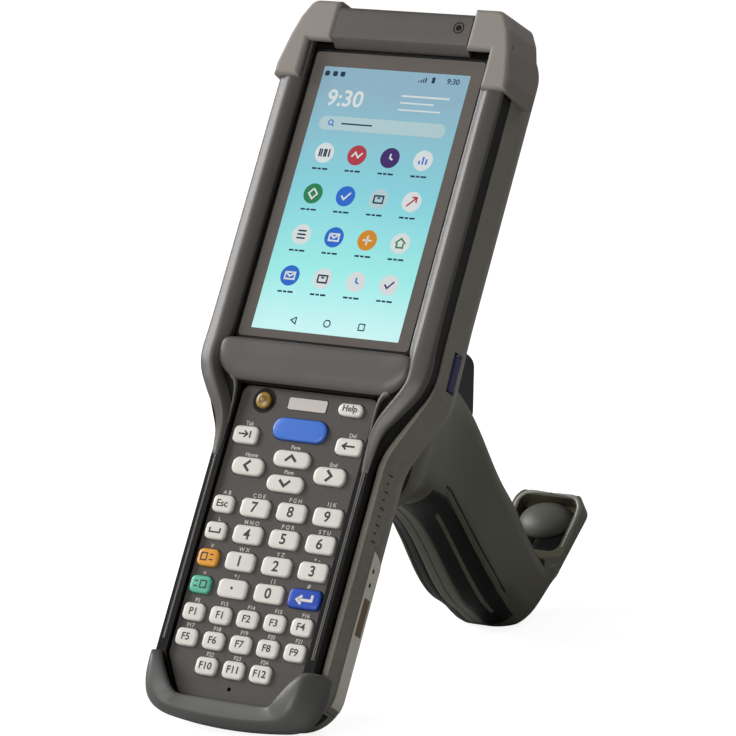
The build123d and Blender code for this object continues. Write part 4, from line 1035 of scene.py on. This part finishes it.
# ---------------- stage, light and camera
CAMERA_PLACE = (663.1, -334.2, 1042.5)         # drawing frame, mm
CAMERA_RIGHT = Vector((0.8558, 0.2562, -0.4494))
CAMERA_UP = Vector((-0.0953, 0.9320, 0.3498))
CAMERA_BACK = Vector((0.5085, -0.2565, 0.8220))
LENS, SENSOR_WIDTH = 206.97, 36.0
camera = new_object("camera", bpy.data.cameras.new("camera"))
turned = Matrix((CAMERA_RIGHT, CAMERA_UP, CAMERA_BACK)).transposed()
camera.matrix_world = (Matrix.Translation(at(*CAMERA_PLACE))
                       @ (Matrix.Rotation(LEAN, 3, "X") @ turned).to_4x4())
camera.data.lens = LENS
camera.data.sensor_width = SENSOR_WIDTH
bpy.context.scene.camera = camera

FLOOR_HALF = 3.0
floor_mesh = bpy.data.meshes.new("floor")
floor_corners = [(x * FLOOR_HALF, y * FLOOR_HALF, 0) for x, y in ((-1, -1), (1, -1), (1, 1), (-1, 1))]
floor_mesh.from_pydata(floor_corners, [], [(0, 1, 2, 3)])
floor = new_object("floor", floor_mesh)
floor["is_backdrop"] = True
floor_mat, floor_tree, floor_shader = new_material("floor")
fill(floor_shader, {"Base Color": (0.5, 0.5, 0.5, 1), "Roughness": 0.9, "Specular IOR Level": 0.0,
                    "Emission Color": (1, 1, 1, 1)})
FLOOR_LIFT = 0.87          # camera rays see the floor brighter than it lights the terminal
seen = floor_tree.nodes.new("ShaderNodeLightPath").outputs["Is Camera Ray"]
floor_tree.links.new(ranged(floor_tree, seen, 0.0, FLOOR_LIFT), floor_shader.inputs["Emission Strength"])
floor.data.materials.append(floor_mat)

world = bpy.data.worlds.new("studio")
bpy.context.scene.world = world
world.use_nodes = True
WORLD_LIGHT = 0.11         # what the world lights the terminal with; camera rays see it white
world_tree = world.node_tree
background = world_tree.nodes["Background"]
seen = world_tree.nodes.new("ShaderNodeLightPath").outputs["Is Camera Ray"]
world_tree.links.new(ranged(world_tree, seen, WORLD_LIGHT, 1.0), background.inputs["Strength"])
fill(background, {"Color": (1, 1, 1, 1)})


def lamp(name, place, target, size, power):
    """Soft square light aimed at a point."""
    data = bpy.data.lights.new(name, "AREA")
    data.size = size
    data.energy = power
    obj = new_object(name, data)
    obj.location = place
    obj.rotation_mode = "QUATERNION"
    obj.rotation_quaternion = (Vector(target) - Vector(place)).to_track_quat("-Z", "Y")


LAMP_TARGET = (0.0, 0.0, 0.11)
lamp("key_light", (-1.9, -0.5, 1.2), LAMP_TARGET, 1.0, 32.0)
lamp("front_light", (-0.3, -2.2, 0.6), LAMP_TARGET, 1.2, 22.0)
lamp("back_light", (0.5, 1.3, 1.2), LAMP_TARGET, 0.9, 6.0)

bpy.context.scene.view_settings.view_transform = "Standard"

low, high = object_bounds()
